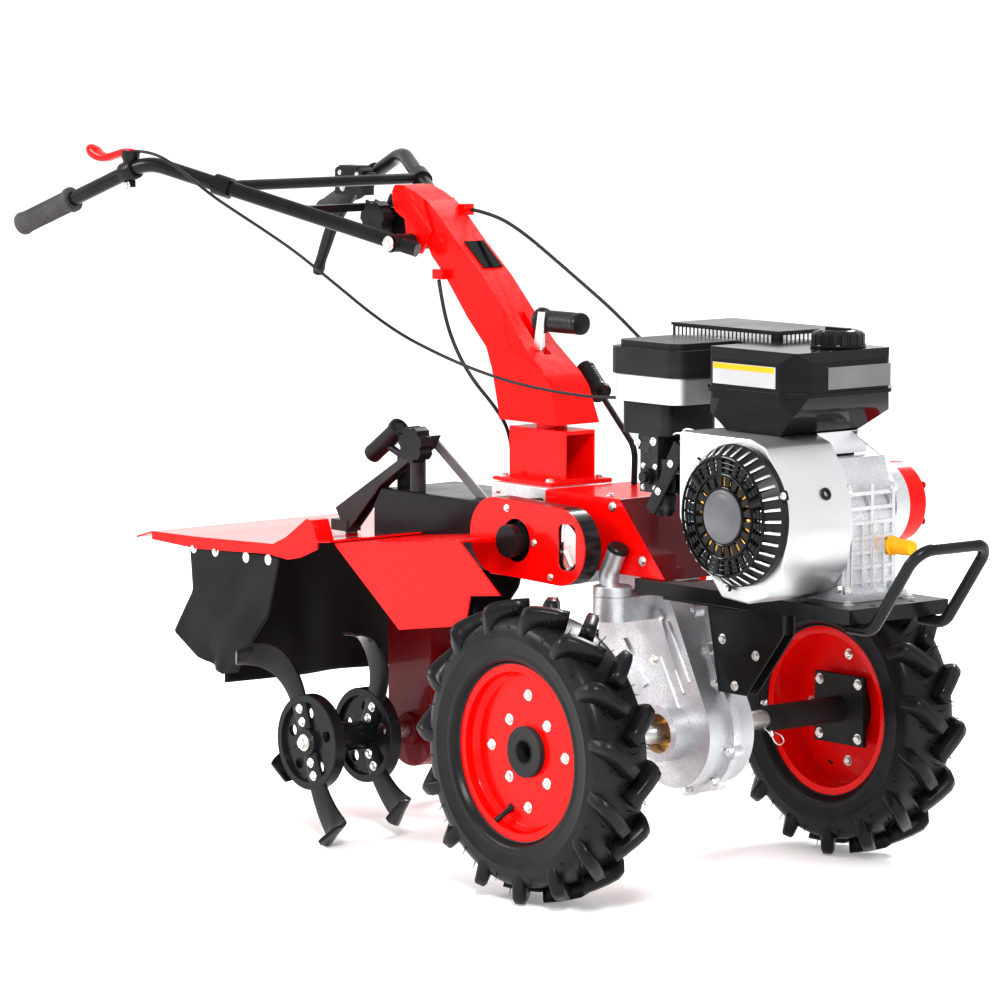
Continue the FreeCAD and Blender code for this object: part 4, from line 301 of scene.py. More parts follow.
def frame_paint_with_painted_shade(red, deep_red):
    """Red side plates and top; the sloping front between the plates, which faces ahead, is painted deep
    maroon as painted shade.
    """
    paint = Finish("frame_paint_with_painted_shade", Coat_Roughness=0.05, Coat_IOR=1.5, Specular_IOR_Level=0.12)
    drift = paint.noise(6.0, 2.0)
    # Faces that look ahead get deep maroon (0.13, 0.001, 0.004): painted shade on the frame's sloping
    # front.
    return paint.out(Base_Color=paint.mix(paint.facing("X") > 0.35, paint.mix(drift, red, deep_red),
                                          (0.13, 0.001, 0.004)),
                     Roughness=paint.fit(drift, 0.3, 0.7, 0.24, 0.34), Coat_Weight=0.25)


def lever_zinc():
    """The gear lever: zinc-plated bar below its black grip."""
    zinc = Finish("gear_lever_finish", Specular_IOR_Level=0.5)
    bar_thickness = 0.0072
    grip = zinc.part(zinc.spot(), "X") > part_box("gear_lever")[0].x + bar_thickness
    fine = zinc.noise(500.0, 2.0)
    zinc.relief(fine, 0.0002, 0.15)
    plate = zinc.mix(fine, (0.75, 0.75, 0.74), (0.6, 0.6, 0.57))
    return zinc.out(Base_Color=zinc.mix(grip, plate, (0.02, 0.02, 0.021)),
                    Roughness=zinc.fit(fine, 0.3, 0.7, 0.26, 0.4), Metallic=1.0 - grip)


def make_finishes(red, deep_red):
    """Every finish of the record by its slot, and a few of the small parts' own."""
    return {
        "tyre": tyre_rubber(),
        "red_paint": gloss_paint("red_paint", red, deep_red),
        "hood_red": hood_enamel(red, deep_red),
        "belt_cover_paint": belt_cover_paint(),
        "gear_lever_finish": lever_zinc(),
        "frame_paint_with_painted_shade": frame_paint_with_painted_shade(red, deep_red),
        # Dark red enamel is painted shade: the red paint made dark for the parts that sit in shadow.
        "dark_red_paint": gloss_paint("dark_red_paint", (0.2, 0.006, 0.01), (0.12, 0.004, 0.007)),
        "black_paint": satin_paint("black_paint", (0.009, 0.009, 0.01), (0.018, 0.018, 0.02),
                                   (0.16, 0.28)),
        "silver_paint": cast_metal("silver_paint", (0.76, 0.77, 0.78), (0.66, 0.67, 0.68),
                                   700.0, (0.3, 0.42)),
        "cast_aluminium": cast_metal("cast_aluminium", (0.8, 0.81, 0.83), (0.55, 0.56, 0.58)),
        "steel": plated_metal("steel", (0.82, 0.82, 0.82), (0.7, 0.7, 0.66)),
        "brass": plated_metal("brass", (0.75, 0.42, 0.12), (0.55, 0.28, 0.07)),
        "hub_steel": satin_paint("hub_steel", (0.015, 0.015, 0.016), (0.04, 0.04, 0.042)),
        "black_plastic": moulded_plastic("black_plastic", (0.01, 0.01, 0.011), (0.02, 0.02, 0.022),
                                         (0.26, 0.4)),
        "gloss_black": moulded_plastic("gloss_black", (0.004, 0.004, 0.005), (0.008, 0.008, 0.009),
                                       (0.07, 0.12), 260.0, 0.03),
        "grey_metal": satin_paint("grey_metal", (0.1, 0.1, 0.11), (0.2, 0.2, 0.21), (0.25, 0.4)),
        "strut_grey": satin_paint("strut_grey", (0.03, 0.03, 0.032), (0.055, 0.055, 0.058),
                                  (0.25, 0.4)),
        "front_plate": satin_paint("front_plate", (0.13, 0.13, 0.135), (0.17, 0.17, 0.175),
                                   (0.3, 0.45)),
        "dark_casting": cast_metal("dark_casting", (0.07, 0.07, 0.075), (0.025, 0.025, 0.027)),
        "blank_plate": satin_paint("blank_plate", (0.42, 0.42, 0.43), (0.5, 0.5, 0.51),
                                   (0.3, 0.45)),
        "yellow_plastic": moulded_plastic("yellow_plastic", (0.9, 0.42, 0.01), (0.8, 0.34, 0.01),
                                          (0.25, 0.35)),
        "red_plastic": moulded_plastic("red_plastic", (0.8, 0.004, 0.004), (0.65, 0.004, 0.004),
                                       (0.2, 0.3)),
        "rubber": flap_rubber(),
        "grip_rubber": grip_foam(),
        "cable_black": moulded_plastic("cable_black", (0.012, 0.012, 0.013), (0.024, 0.024, 0.025),
                                       (0.3, 0.4)),
    }


FINISHES = {}


# ------------------------------------------------------------------ mesh helpers
def link(name, data, slot, body):
    """A new piece that rides on a body and takes its finish from a slot of the record."""
    piece = bpy.data.objects.new(name, data)
    bpy.context.scene.collection.objects.link(piece)
    piece.data.materials.clear()
    piece.data.materials.append(FINISHES[slot])
    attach(piece, body)
    return piece


def mesh_of(name, build):
    """A mesh filled by a function that works on a bmesh."""
    shape = bmesh.new()
    build(shape)
    bmesh.ops.remove_doubles(shape, verts=shape.verts, dist=1e-6)
    bmesh.ops.recalc_face_normals(shape, faces=shape.faces)
    mesh = bpy.data.meshes.new(name)
    shape.to_mesh(mesh)
    shape.free()
    for face in mesh.polygons:
        face.use_smooth = True
    return mesh


def bridge(shape, rings):
    """Joins each ring of points to the next with faces."""
    for first, second in zip(rings, rings[1:]):
        for k in range(len(first)):
            after = (k + 1) % len(first)
            shape.faces.new((first[k], first[after], second[after], second[k]))


def turned(shape, profile, start, way, steps=48, closed=True):
    """Turns (along, radius) points about a line through a start point."""
    way = Vector(way).normalized()
    side = way.orthogonal().normalized()
    up = way.cross(side)
    rings = []
    for along, radius in profile:
        rings.append([shape.verts.new(start + way * along
                                      + side * radius * math.cos(2 * math.pi * k / steps)
                                      + up * radius * math.sin(2 * math.pi * k / steps))
                      for k in range(steps)])
    bridge(shape, rings + rings[:1] if closed else rings)


def loft(shape, sections, caps=True):
    """Skins a list of closed sections with the same number of points."""
    rings = [[shape.verts.new(point) for point in section] for section in sections]
    bridge(shape, rings)
    if caps:
        shape.faces.new(rings[0])
        shape.faces.new(list(reversed(rings[-1])))


def swept(shape, stations, sideways, corners=10, square=0.6):
    """Skins rounded sections along stations, each a place, a width along sideways and a depth."""
    places = [Vector(place) for place, wide, deep in stations]
    sections = []
    for k, (place, wide, deep) in enumerate(stations):
        along = (places[min(k + 1, len(places) - 1)] - places[max(k - 1, 0)]).normalized()
        broad = (sideways - along * sideways.dot(along)).normalized()
        thick = along.cross(broad)
        section = []
        for c in range(corners):
            turn = 2 * math.pi * (c + 0.5) / corners
            across, through = math.cos(turn), math.sin(turn)
            section.append(Vector(place)
                           + broad * (wide / 2 * math.copysign(abs(across) ** square, across))
                           + thick * (deep / 2 * math.copysign(abs(through) ** square, through)))
        sections.append(section)
    loft(shape, sections)


def eased(stations, steps=6):
    """The stations with smooth steps between them."""
    rows = [(*place, wide, deep) for place, wide, deep in stations]
    rows = [rows[0]] + rows + [rows[-1]]
    smooth = []
    for run in zip(rows, rows[1:], rows[2:], rows[3:]):
        for k in range(steps):
            t = k / steps
            smooth.append([0.5 * (2 * q + (r - p) * t + (2 * p - 5 * q + 4 * r - e) * t * t
                                  + (3 * q - p - 3 * r + e) * t ** 3) for p, q, r, e in zip(*run)])
    smooth.append(rows[-1])
    return [(Vector(row[:3]), row[3], row[4]) for row in smooth]


def slab(shape, outline, rise, chamfer=0.001):
    """A plate raised from its outline by a vector, with its upper edge chamfered."""
    middle = sum(outline, Vector()) / len(outline)
    upright = rise * (1 - chamfer / rise.length)
    drawn_in = [point + (middle - point).normalized() * chamfer + rise for point in outline]
    loft(shape, [outline, [point + upright for point in outline], drawn_in])


def box(shape, low, high, chamfer=0.001):
    """A box between two corners, with its upper edge chamfered."""
    low, high = Vector(low), Vector(high)
    corners = ((low.x, low.y), (high.x, low.y), (high.x, high.y), (low.x, high.y))
    outline = [Vector((x, y, low.z)) for x, y in corners]
    slab(shape, outline, Vector((0, 0, high.z - low.z)), chamfer)


def made(name, slot, body, build, sharp=34):
    """A new piece from a function that fills a bmesh."""
    mesh = mesh_of(name, build)
    mesh.set_sharp_from_angle(angle=math.radians(sharp))
    return link(name, mesh, slot, body)


def at(x, y, z):
    """A place in millimetres: ahead of the wheel axle, left of the middle, above the ground."""
    return Vector((x / 1000 + AXLE_X, y / 1000, z / 1000))


def spoke(turn):
    """The direction at an angle round the sideways axis, from straight ahead upwards."""
    return Vector((math.cos(turn), 0, math.sin(turn)))


def plate(name, slot, *panels):
    """Flat panels in one piece: each an outline in millimetres, a rise and a chamfer."""
    def build(shape):
        for outline, rise, chamfer in panels:
            slab(shape, [at(*spot) for spot in outline], rise, chamfer)
    made(name, slot, "chassis", build)


# ------------------------------------------------------------------ geometry nodes
class Tree:
    """A geometry node tree in the making."""

    def __init__(self, name, sizes):
        self.tree = bpy.data.node_groups.new(name, "GeometryNodeTree")
        sockets = self.tree.interface
        sockets.new_socket("Geometry", in_out="INPUT", socket_type="NodeSocketGeometry")
        for label, kind, value in sizes:
            socket = sockets.new_socket(label, in_out="INPUT", socket_type="NodeSocket" + kind)
            if value is not None:
                socket.default_value = value
        sockets.new_socket("Geometry", in_out="OUTPUT", socket_type="NodeSocketGeometry")
        self.given = self.tree.nodes.new("NodeGroupInput")
        self.result = self.tree.nodes.new("NodeGroupOutput")

    def size(self, label):
        """The socket of a named input."""
        return self.given.outputs[label]

    def node(self, kind, settings, inputs, output=0):
        """One node with its settings, then its sockets' values, links or lists of links."""
        node = self.tree.nodes.new(kind)
        for name, value in settings.items():
            setattr(node, name, value)
        for name, value in inputs.items():
            if isinstance(value, bpy.types.NodeSocket):
                self.tree.links.new(value, node.inputs[name])
            elif isinstance(value, list):
                for one in value:
                    self.tree.links.new(one, node.inputs[name])
            else:
                node.inputs[name].default_value = value
        return node.outputs[output]

    def math(self, operation, first, second):
        return self.node("ShaderNodeMath", {"operation": operation}, {0: first, 1: second})

    def finish(self, geometry):
        """Makes the instances real and paints them."""
        real = self.node("GeometryNodeRealizeInstances", {}, {"Geometry": geometry})
        painted = self.node("GeometryNodeSetMaterial", {},
                            {"Geometry": real, "Material": self.size("Material")})
        self.tree.links.new(painted, self.result.inputs[0])
        return self.tree


def ring_tree():
    """Copies of the given mesh, evenly spaced round the Y axis, then moved to a centre."""
    tree = Tree("ring of copies", [("Count", "Int", 12), ("Phase", "Float", 0.0),
                                   ("Centre", "Vector", (0.0, 0.0, 0.0)), ("Material", "Material", None)])
    points = tree.node("GeometryNodePoints", {}, {"Count": tree.size("Count")})
    index = tree.node("GeometryNodeInputIndex", {}, {})
    turn = tree.math("DIVIDE", tree.math("MULTIPLY", index, 2 * math.pi), tree.size("Count"))
    round_y = tree.node("ShaderNodeCombineXYZ", {}, {"Y": tree.math("ADD", turn, tree.size("Phase"))})
    copies = tree.node("GeometryNodeInstanceOnPoints", {},
                       {"Points": points, "Instance": tree.size("Geometry"), "Rotation": round_y})
    moved = tree.node("GeometryNodeTransform", {}, {"Geometry": copies, "Translation": tree.size("Centre")})
    return tree.finish(moved)


def bolt_tree():
    """A hex head on a washer at each given point, along its facing and at its size."""
    tree = Tree("bolt heads", [("Head Height", "Float", 0.62), ("Washer Radius", "Float", 1.32),
                               ("Washer Height", "Float", 0.16), ("Material", "Material", None)])
    height = tree.size("Head Height")
    washer_height = tree.size("Washer Height")
    washer = tree.node("GeometryNodeMeshCylinder", {},
                       {"Vertices": 20, "Radius": tree.size("Washer Radius"), "Depth": washer_height})
    head = tree.node("GeometryNodeMeshCylinder", {}, {"Vertices": 6, "Radius": 1.0, "Depth": height})
    head_up = tree.node("ShaderNodeCombineXYZ", {}, {"Z": tree.math("DIVIDE", height, 2.0)})
    head = tree.node("GeometryNodeTransform", {}, {"Geometry": head, "Translation": head_up})
    crown = tree.node("GeometryNodeMeshCone", {}, {"Vertices": 12, "Radius Top": 0.7,
                                                   "Radius Bottom": 0.9, "Depth": 0.14})
    crown_up = tree.node("ShaderNodeCombineXYZ", {}, {"Z": height})
    crown = tree.node("GeometryNodeTransform", {}, {"Geometry": crown, "Translation": crown_up})
    bolt = tree.node("GeometryNodeJoinGeometry", {}, {"Geometry": [washer, head, crown]})
    facing = tree.node("GeometryNodeInputNamedAttribute", {"data_type": "FLOAT_VECTOR"},
                       {"Name": "facing"})
    size = tree.node("GeometryNodeInputNamedAttribute", {"data_type": "FLOAT"}, {"Name": "size"})
    upright = tree.node("FunctionNodeAlignRotationToVector", {"axis": "Z"}, {"Vector": facing})
    scale = tree.node("ShaderNodeCombineXYZ", {}, {"X": size, "Y": size, "Z": size})
    points = tree.node("GeometryNodeMeshToPoints", {}, {"Mesh": tree.size("Geometry")})
    heads = tree.node("GeometryNodeInstanceOnPoints", {},
                      {"Points": points, "Instance": bolt, "Rotation": upright, "Scale": scale})
    return tree.finish(heads)


TREES = {}


def grown(name, seed, tree, sizes, slot, body):
    """Runs a node tree on a seed mesh and keeps the result as a plain piece."""
    piece = bpy.data.objects.new(name + "_seed", seed)
    bpy.context.scene.collection.objects.link(piece)
    modifier = piece.modifiers.new("grow", "NODES")
    modifier.node_group = TREES[tree]
    values = {"Material": FINISHES[slot], **sizes}
    for item in TREES[tree].interface.items_tree:
        if item.in_out == "INPUT" and item.name in values:
            modifier[item.identifier] = values[item.name]
    bpy.context.view_layer.update()
    graph = bpy.context.evaluated_depsgraph_get()
    mesh = bpy.data.meshes.new_from_object(piece.evaluated_get(graph))
    mesh.name = name
    bpy.data.objects.remove(piece)
    return link(name, mesh, slot, body)


def spots_mesh(name, spots):
    """Loose points that carry a facing and a size."""
    mesh = bpy.data.meshes.new(name)
    mesh.from_pydata([tuple(place) for place, facing, size in spots], [], [])
    facing = mesh.attributes.new("facing", "FLOAT_VECTOR", "POINT")
    facing.data.foreach_set("vector", [part for place, way, width in spots for part in way])
    size = mesh.attributes.new("size", "FLOAT", "POINT")
    size.data.foreach_set("value", [width for place, way, width in spots])
    return mesh


def fasten(name, spots, slot, body, **sizes):
    """Bolt heads on washers; each spot is a place, the way the head faces and its radius."""
    return grown(name, spots_mesh(name + "_spots", spots), "bolts", sizes, slot, body)


def heads(y, way, size, places):
    """Bolt heads on a side face: its y, the way it looks, their radius and their x and z."""
    return [(at(x, y, z), way, size) for x, z in places]


def mirrored(spots):
    """The spots, and the same on the machine's other side."""
    other = Vector((1, -1, 1))
    return spots + [(place * other, way * other, size) for place, way, size in spots]


def round_rod(name, route, width, slot, body):
    """A round rod or wire along a smooth route of places in millimetres."""
    return link(name, plain_mesh(cable_curve(name, route, width)), slot, body)


# ------------------------------------------------------------------ solids from the frame
def crease_tree():
    """Merges the loose triangles and shades smooth across all but the sharp edges."""
    tree = Tree("smooth by angle", [("Angle", "Float", math.radians(32)), ("Merge", "Float", 1e-5)])
    merged = tree.node("GeometryNodeMergeByDistance", {},
                       {"Geometry": tree.size("Geometry"), "Distance": tree.size("Merge")})
    bare = tree.node("GeometryNodeRemoveAttribute", {}, {"Geometry": merged, "Name": "custom_normal"})
    smooth = tree.node("GeometryNodeSetShadeSmooth", {"domain": "FACE"},
                       {"Geometry": bare, "Shade Smooth": True})
    angle = tree.node("GeometryNodeInputMeshEdgeAngle", {}, {}, "Unsigned Angle")
    gentle = tree.node("FunctionNodeCompare", {"operation": "LESS_THAN", "data_type": "FLOAT"},
                       {0: angle, 1: tree.size("Angle")})
    creased = tree.node("GeometryNodeSetShadeSmooth", {"domain": "EDGE"},
                        {"Geometry": smooth, "Shade Smooth": gentle})
    tree.tree.links.new(creased, tree.result.inputs[0])
    return tree.tree


# Bevel widths in metres of solids that don't have the usual one; 0 leaves the edges sharp.
EDGES = {"blower_cowl": 0.007, "fuel_tank": 0.006, "air_cleaner": 0.004, "cleaner_band": 0.002,
         "column": 0.005, "output_cover": 0.003, "gearbox": 0.003, "tiller_housing": 0.004,
         "muffler": 0.006, "drive_leg": 0.003, "gear_case": 0.002, "carburettor": 0.002,
         "engine_tray": 0.002, "recoil_starter": 0, "muffler_guard": 0}
FLAT_LIMIT, EDGE_LIMIT = math.radians(0.6), math.radians(34)


def soften(node, width):
    """Merges a solid's triangles and rounds its edges, all by modifiers."""
    merge = node.modifiers.new("merge", "NODES")
    merge.node_group = TREES["crease"]
    if not width:
        return
    flats = node.modifiers.new("flats", "DECIMATE")
    flats.decimate_type = "DISSOLVE"
    flats.angle_limit = FLAT_LIMIT
    bevel = node.modifiers.new("bevel", "BEVEL")
    bevel.width = width
    bevel.segments = 2
    bevel.limit_method = "ANGLE"
    bevel.angle_limit = EDGE_LIMIT
    bevel.miter_outer = "MITER_ARC"
    crease = node.modifiers.new("crease", "NODES")
    crease.node_group = TREES["crease"]
    normals = node.modifiers.new("normals", "WEIGHTED_NORMAL")
    normals.keep_sharp = True


# Solids that wear another finish than their slot's own; the chassis frame's one carries painted shade on
# its sloping front.
OWN_FINISH = {"belt_cover": "belt_cover_paint", "gear_lever": "gear_lever_finish", "hood": "hood_red",
              "chassis_frame": "frame_paint_with_painted_shade", "carburettor": "dark_casting", "muffler": "silver_paint",
              "depth_arm": "strut_grey", "depth_strut": "grey_metal"}


def node_slots():
    """The record's slot of every solid, by the solid's name."""
    return {part["node"]: part["material_slot"] for part in frame["record"]["subparts"]}


# ------------------------------------------------------------------ cables
# Routes in millimetres, from each cable's upper end.
THROTTLE_CABLE = ((-1085, -280, 1099), (-1027, -284, 1101), (-974, -266, 1072), (-930, -239, 1032),
                  (-875, -221, 1002), (-817, -209, 975), (-757, -201, 948), (-698, -199, 921),
                  (-640, -192, 890), (-592, -169, 852), (-543, -143, 818), (-485, -126, 795),
                  (-422, -119, 778), (-357, -117, 766), (-292, -118, 758), (-227, -119, 753),
                  (-162, -118, 750), (-96, -117, 749), (-30.3, -118, 754))
GEAR_CABLE = ((-580, -38, 901), (-562, -42, 845), (-538, -36, 788), (-508, -26, 742),
              (-470, -14, 704), (-440, -8, 668), (-431, -6, 620), (-434, -5, 556.6))
ENGINE_CABLE = ((-588, 38, 1012), (-540, 46, 1006), (-478, 54, 980), (-412, 60, 943), (-341, 62, 905),
                (-269, 63, 867), (-201, 62, 826), (-134, 61, 786), (-60, 62, 758))


def cable_curve(name, route, width):
    """The smooth line of a cable through its route, as a round curve."""
    curve = bpy.data.curves.new(name, "CURVE")
    curve.dimensions = "3D"
    curve.bevel_depth = width / 2
    curve.bevel_resolution = 4
    curve.use_fill_caps = width > 0
    curve.resolution_u = 10
    spline = curve.splines.new("NURBS")
    spline.points.add(len(route) - 1)
    for point, (x, y, z) in zip(spline.points, route):
        point.co = (x / 1000 + AXLE_X, y / 1000, z / 1000, 1.0)
    spline.order_u = 3
    spline.use_endpoint_u = True
    return curve


def plain_mesh(curve):
    """The mesh that a curve makes."""
    holder = bpy.data.objects.new("holder", curve)
    bpy.context.scene.collection.objects.link(holder)
    graph = bpy.context.evaluated_depsgraph_get()
    mesh = bpy.data.meshes.new_from_object(holder.evaluated_get(graph))
    bpy.data.objects.remove(holder)
    return mesh


def declare_cable(piece, node):
    """Hides the cable's solid, which the new piece stands in for."""
    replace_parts(piece, node)


def cable(name, route, width, node):
    """A control cable along its route, whole from end to end, that stays with the chassis."""
    curve = cable_curve(name, route, width)
    curve.materials.append(FINISHES["cable_black"])
    piece = bpy.data.objects.new(name, curve)
    bpy.context.scene.collection.objects.link(piece)
    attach(piece, "chassis")
    declare_cable(piece, node)


def bending_cable(name, route, width, node):
    """A control cable as a plain tube along its route, in place of its solid."""
    line = plain_mesh(cable_curve(name + "_line", route, 0))
    mesh = plain_mesh(cable_curve(name + "_tube", route, width))
    mesh.materials.clear()
    mesh.materials.append(FINISHES["cable_black"])
    piece = bpy.data.objects.new(name, mesh)
    bpy.context.scene.collection.objects.link(piece)
    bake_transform(piece)
    declare_cable(piece, node)


# ------------------------------------------------------------------ tyres
LUG_PHASE = 0.1
# A lug from the tread's middle to the wall: angle, base's y and radius, top's y and radius,
# and the half widths of base and top.
LUG = ((2.0, 0.0005, 0.203, 0.0005, 0.2316, 0.0125, 0.0095),
       (-1.5, 0.014, 0.203, 0.014, 0.2316, 0.0120, 0.0090),
       (-5.0, 0.028, 0.201, 0.028, 0.2312, 0.0120, 0.0088),
       (-8.2, 0.040, 0.197, 0.041, 0.2300, 0.0122, 0.0086),
       (-10.0, 0.045, 0.192, 0.0500, 0.2250, 0.0124, 0.0082),
       (-10.8, 0.047, 0.186, 0.0535, 0.2110, 0.0122, 0.0076),
       (-11.0, 0.049, 0.178, 0.0538, 0.1950, 0.0112, 0.0066),
       (-11.0, 0.049, 0.170, 0.0520, 0.1820, 0.0090, 0.0050))
# Moulding hairs of one pitch: place in it, y, radius at the foot, lean and length.
HAIRS = ((0.12, 0.030, 0.2055, 0.2, 0.017), (0.30, 0.012, 0.207, -0.3, 0.015),
         (0.55, -0.030, 0.2055, -0.2, 0.018), (0.8, -0.012, 0.207, 0.3, 0.014),
         (0.2, 0.0505, 0.19, 0.5, 0.012), (0.7, -0.0505, 0.19, -0.5, 0.012))


def lug_sections(side):
    """Sections of one lug from the tread's middle over the shoulder and down the wall."""
    placed = []
    for turn, base_y, base_r, top_y, top_r, base_half, top_half in LUG:
        a = math.radians(turn)
        radial = Vector((math.sin(a), 0, math.cos(a)))
        base = radial * base_r + Vector((0, side * base_y, 0))
        top = radial * top_r + Vector((0, side * top_y, 0))
        placed.append((base, top, base_half, top_half))
    sections = []
    for k, (base, top, base_half, top_half) in enumerate(placed):
        before = placed[max(k - 1, 0)][1]
        after = placed[min(k + 1, len(placed) - 1)][1]
        across = (after - before).cross(top - base).normalized()
        rise = (top - base) * 0.86
        sections.append([base - across * base_half, base + rise - across * (top_half + 0.0012),
                         top - across * (top_half - 0.0016), top + across * (top_half - 0.0016),
                         base + rise + across * (top_half + 0.0012), base + across * base_half])
    return sections


def lug_pair_mesh(pitch):
    """A lug on each half of the tread, half a pitch apart."""
    def build(shape):
        loft(shape, lug_sections(1))
        turn = Matrix.Rotation(pitch / 2, 3, "Y")
        loft(shape, [[turn @ point for point in section] for section in lug_sections(-1)])
    return mesh_of("lug_pair", build)


def hair_seed(pitch):
    """Moulding hairs of one tread pitch: fine tapered threads between and beside the lugs."""
    def build(shape):
        for turn, y, radius, lean, length in HAIRS:
            a = turn * pitch
            radial = Vector((math.sin(a), 0, math.cos(a)))
            ahead = Vector((math.cos(a), 0, -math.sin(a)))
            way = (radial + ahead * lean + Vector((0, y * 6, 0))).normalized()
            foot = radial * radius + Vector((0, y, 0))
            turned(shape, [(-0.002, 0.0), (-0.002, 0.0011), (length, 0.0005), (length, 0.0)],
                   foot, way, 5)
    return mesh_of("tread_hairs", build)


def carcass_mesh(centre):
    """Tyre body: beads, walls with a rim guard and two fine rings, rounded shoulders and crown."""
    outer = [(0.0380, 0.1385), (0.0450, 0.1400), (0.0490, 0.1440), (0.0505, 0.1480), (0.0495, 0.1515),
             (0.0500, 0.1560), (0.0518, 0.1650), (0.0528, 0.1740), (0.0534, 0.1755), (0.0528, 0.1772),
             (0.0522, 0.1840), (0.0505, 0.1925), (0.0465, 0.1995), (0.0400, 0.2040), (0.0280, 0.2062),
             (0.0140, 0.2072)]
    whole = outer + [(0.0, 0.2075)] + [(-y, r) for y, r in reversed(outer)]
    inner = [(-0.0360, 0.1300), (0.0360, 0.1300)]
    return mesh_of("carcass", lambda shape: turned(shape, whole + inner, centre, LEFT, 128))


def joined_piece(name, parts, slot, body):
    """Joins several pieces' meshes into one piece."""
    whole = bmesh.new()
    for part in parts:
        whole.from_mesh(part.data)
    mesh = bpy.data.meshes.new(name)
    whole.to_mesh(mesh)
    whole.free()
    for part in parts:
        bpy.data.objects.remove(part)
    return link(name, mesh, slot, body)


def dress_tyre(name, lug_count):
    """The lugged tyre in place of its plain solid."""
    low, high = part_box("tyre_" + name)
    centre = (low + high) / 2
    body = "wheel_" + name
    pitch = 2 * math.pi / lug_count
    ring = {"Count": lug_count, "Phase": LUG_PHASE, "Centre": tuple(centre)}
    carcass = link("carcass_" + name, carcass_mesh(centre), "tyre", body)
    lugs = grown("lugs_" + name, lug_pair_mesh(pitch), "ring", ring, "tyre", body)
    hairs = grown("hairs_" + name, hair_seed(pitch), "ring", ring, "tyre", body)
    tyre = joined_piece("lugged_tyre_" + name, [carcass, lugs, hairs], "tyre", body)
    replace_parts(tyre, "tyre_" + name)


# ------------------------------------------------------------------ wheels
# Distances in metres from the machine's middle plane: the hub's outer face and the backs of the
# disc and the hub plate; then the rim's middle, the face round the bore and the hub pin.
HUB_FACE, DISC_BACK, PLATE_BACK = 0.3366, 0.3324, 0.3104
RIM_MIDDLE, BORE_FACE, HUB_PIN = 0.3205, 0.3462, 0.158
PIN_WAY = Vector((0.35, 0, -1))
HUB_BOLT = 0.0066
# The spring clip round the hub pin, in millimetres from the pin's tip, for the left side.
CLIP = ((0, -9, 4), (0, 2, 1), (0, 12, -1), (0, 22, -7), (2, 26, -16), (0, 18, -22), (-2, 8, -16),
        (-3, 4, -6), (-4, -4, 2), (-3, -12, 8))


def hub_bolts(middle, side):
    """Bolts through the hub's plate and through the disc, seen from outside and inside."""
    out = Vector((0, side, 0))
    spots = []
    for k in range(4):
        for reach, lean, inner in ((0.062, 45, PLATE_BACK), (0.086, 0, DISC_BACK)):
            turn = math.radians(90 * k + lean)
            x, z = middle.x + reach * math.cos(turn), middle.z + reach * math.sin(turn)
            spots.append((Vector((x, side * HUB_FACE, z)), out, HUB_BOLT))
            spots.append((Vector((x, side * inner, z)), -out, HUB_BOLT))
    return spots


def dress_hub(name, side):
    """A wheel's bolts, dark trim, valve, hub pin and the pin's spring clip."""
    low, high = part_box("rim_" + name)
    middle = (low + high) / 2
    body = "wheel_" + name
    out = Vector((0, side, 0))
    fasten("hub_bolts_" + name, hub_bolts(middle, side), "steel", body)
    rim_edge = [(0.0, 0.1385), (0.0022, 0.1385), (0.0034, 0.1368), (0.0022, 0.1352), (0.0, 0.1352)]

    def strips(shape):
        for way in (out, -out):
            start = Vector((middle.x, side * RIM_MIDDLE, middle.z)) + way * 0.0375
            turned(shape, rim_edge, start, way, 96)
        bore = [(0.0, 0.0172), (-0.012, 0.0172), (-0.012, 0.0196), (0.0016, 0.0196), (0.0016, 0.0186)]
        turned(shape, bore, Vector((middle.x, side * BORE_FACE, middle.z)), out, 48)
    made("rim_strips_" + name, "hub_steel", body, strips)

    def valve(shape):
        foot = Vector((middle.x - 0.04, side * 0.337, middle.z - 0.092))
        turned(shape, [(-0.004, 0.0), (-0.004, 0.0062), (0.002, 0.0062), (0.005, 0.0042),
                       (0.022, 0.0038), (0.022, 0.0044), (0.030, 0.0044), (0.031, 0.0034),
                       (0.031, 0.0)], foot, out + Vector((-0.35, 0, -0.75)), 16)
    made("valve_" + name, "black_plastic", body, valve)

    def pin(shape):
        start = Vector((middle.x, side * HUB_PIN, middle.z))
        turned(shape, [(-0.029, 0.0), (-0.029, 0.0062), (-0.026, 0.0068), (-0.024, 0.0062),
                       (-0.024, 0.0036), (0.0275, 0.0036), (0.029, 0.0028), (0.029, 0.0)],
               start, PIN_WAY, 20)
    made("hub_pin_" + name, "steel", body, pin)
    tip = pin_tip(middle, side)
    route = [(tip.x + x, tip.y + side * y, tip.z + z) for x, y, z in CLIP]
    round_rod("hub_clip_" + name, route, 0.0024, "steel", body)


def pin_tip(middle, side):
    """Where the spring clip goes through the hub pin, in millimetres from the axle."""
    tip = Vector((middle.x, side * HUB_PIN, middle.z)) + PIN_WAY.normalized() * 0.0235
    return Vector(((tip.x - AXLE_X) * 1000, tip.y * 1000, tip.z * 1000))


# ------------------------------------------------------------------ rubber flaps
def lerp_along(line, share):
    """A place at a share of a polyline's length."""
    steps = [(b - a).length for a, b in zip(line, line[1:])]
    left = share * sum(steps)
    for k, step in enumerate(steps):
        if left <= step or k == len(steps) - 1:
            return line[k].lerp(line[k + 1], min(left / step, 1.0))
        left -= step


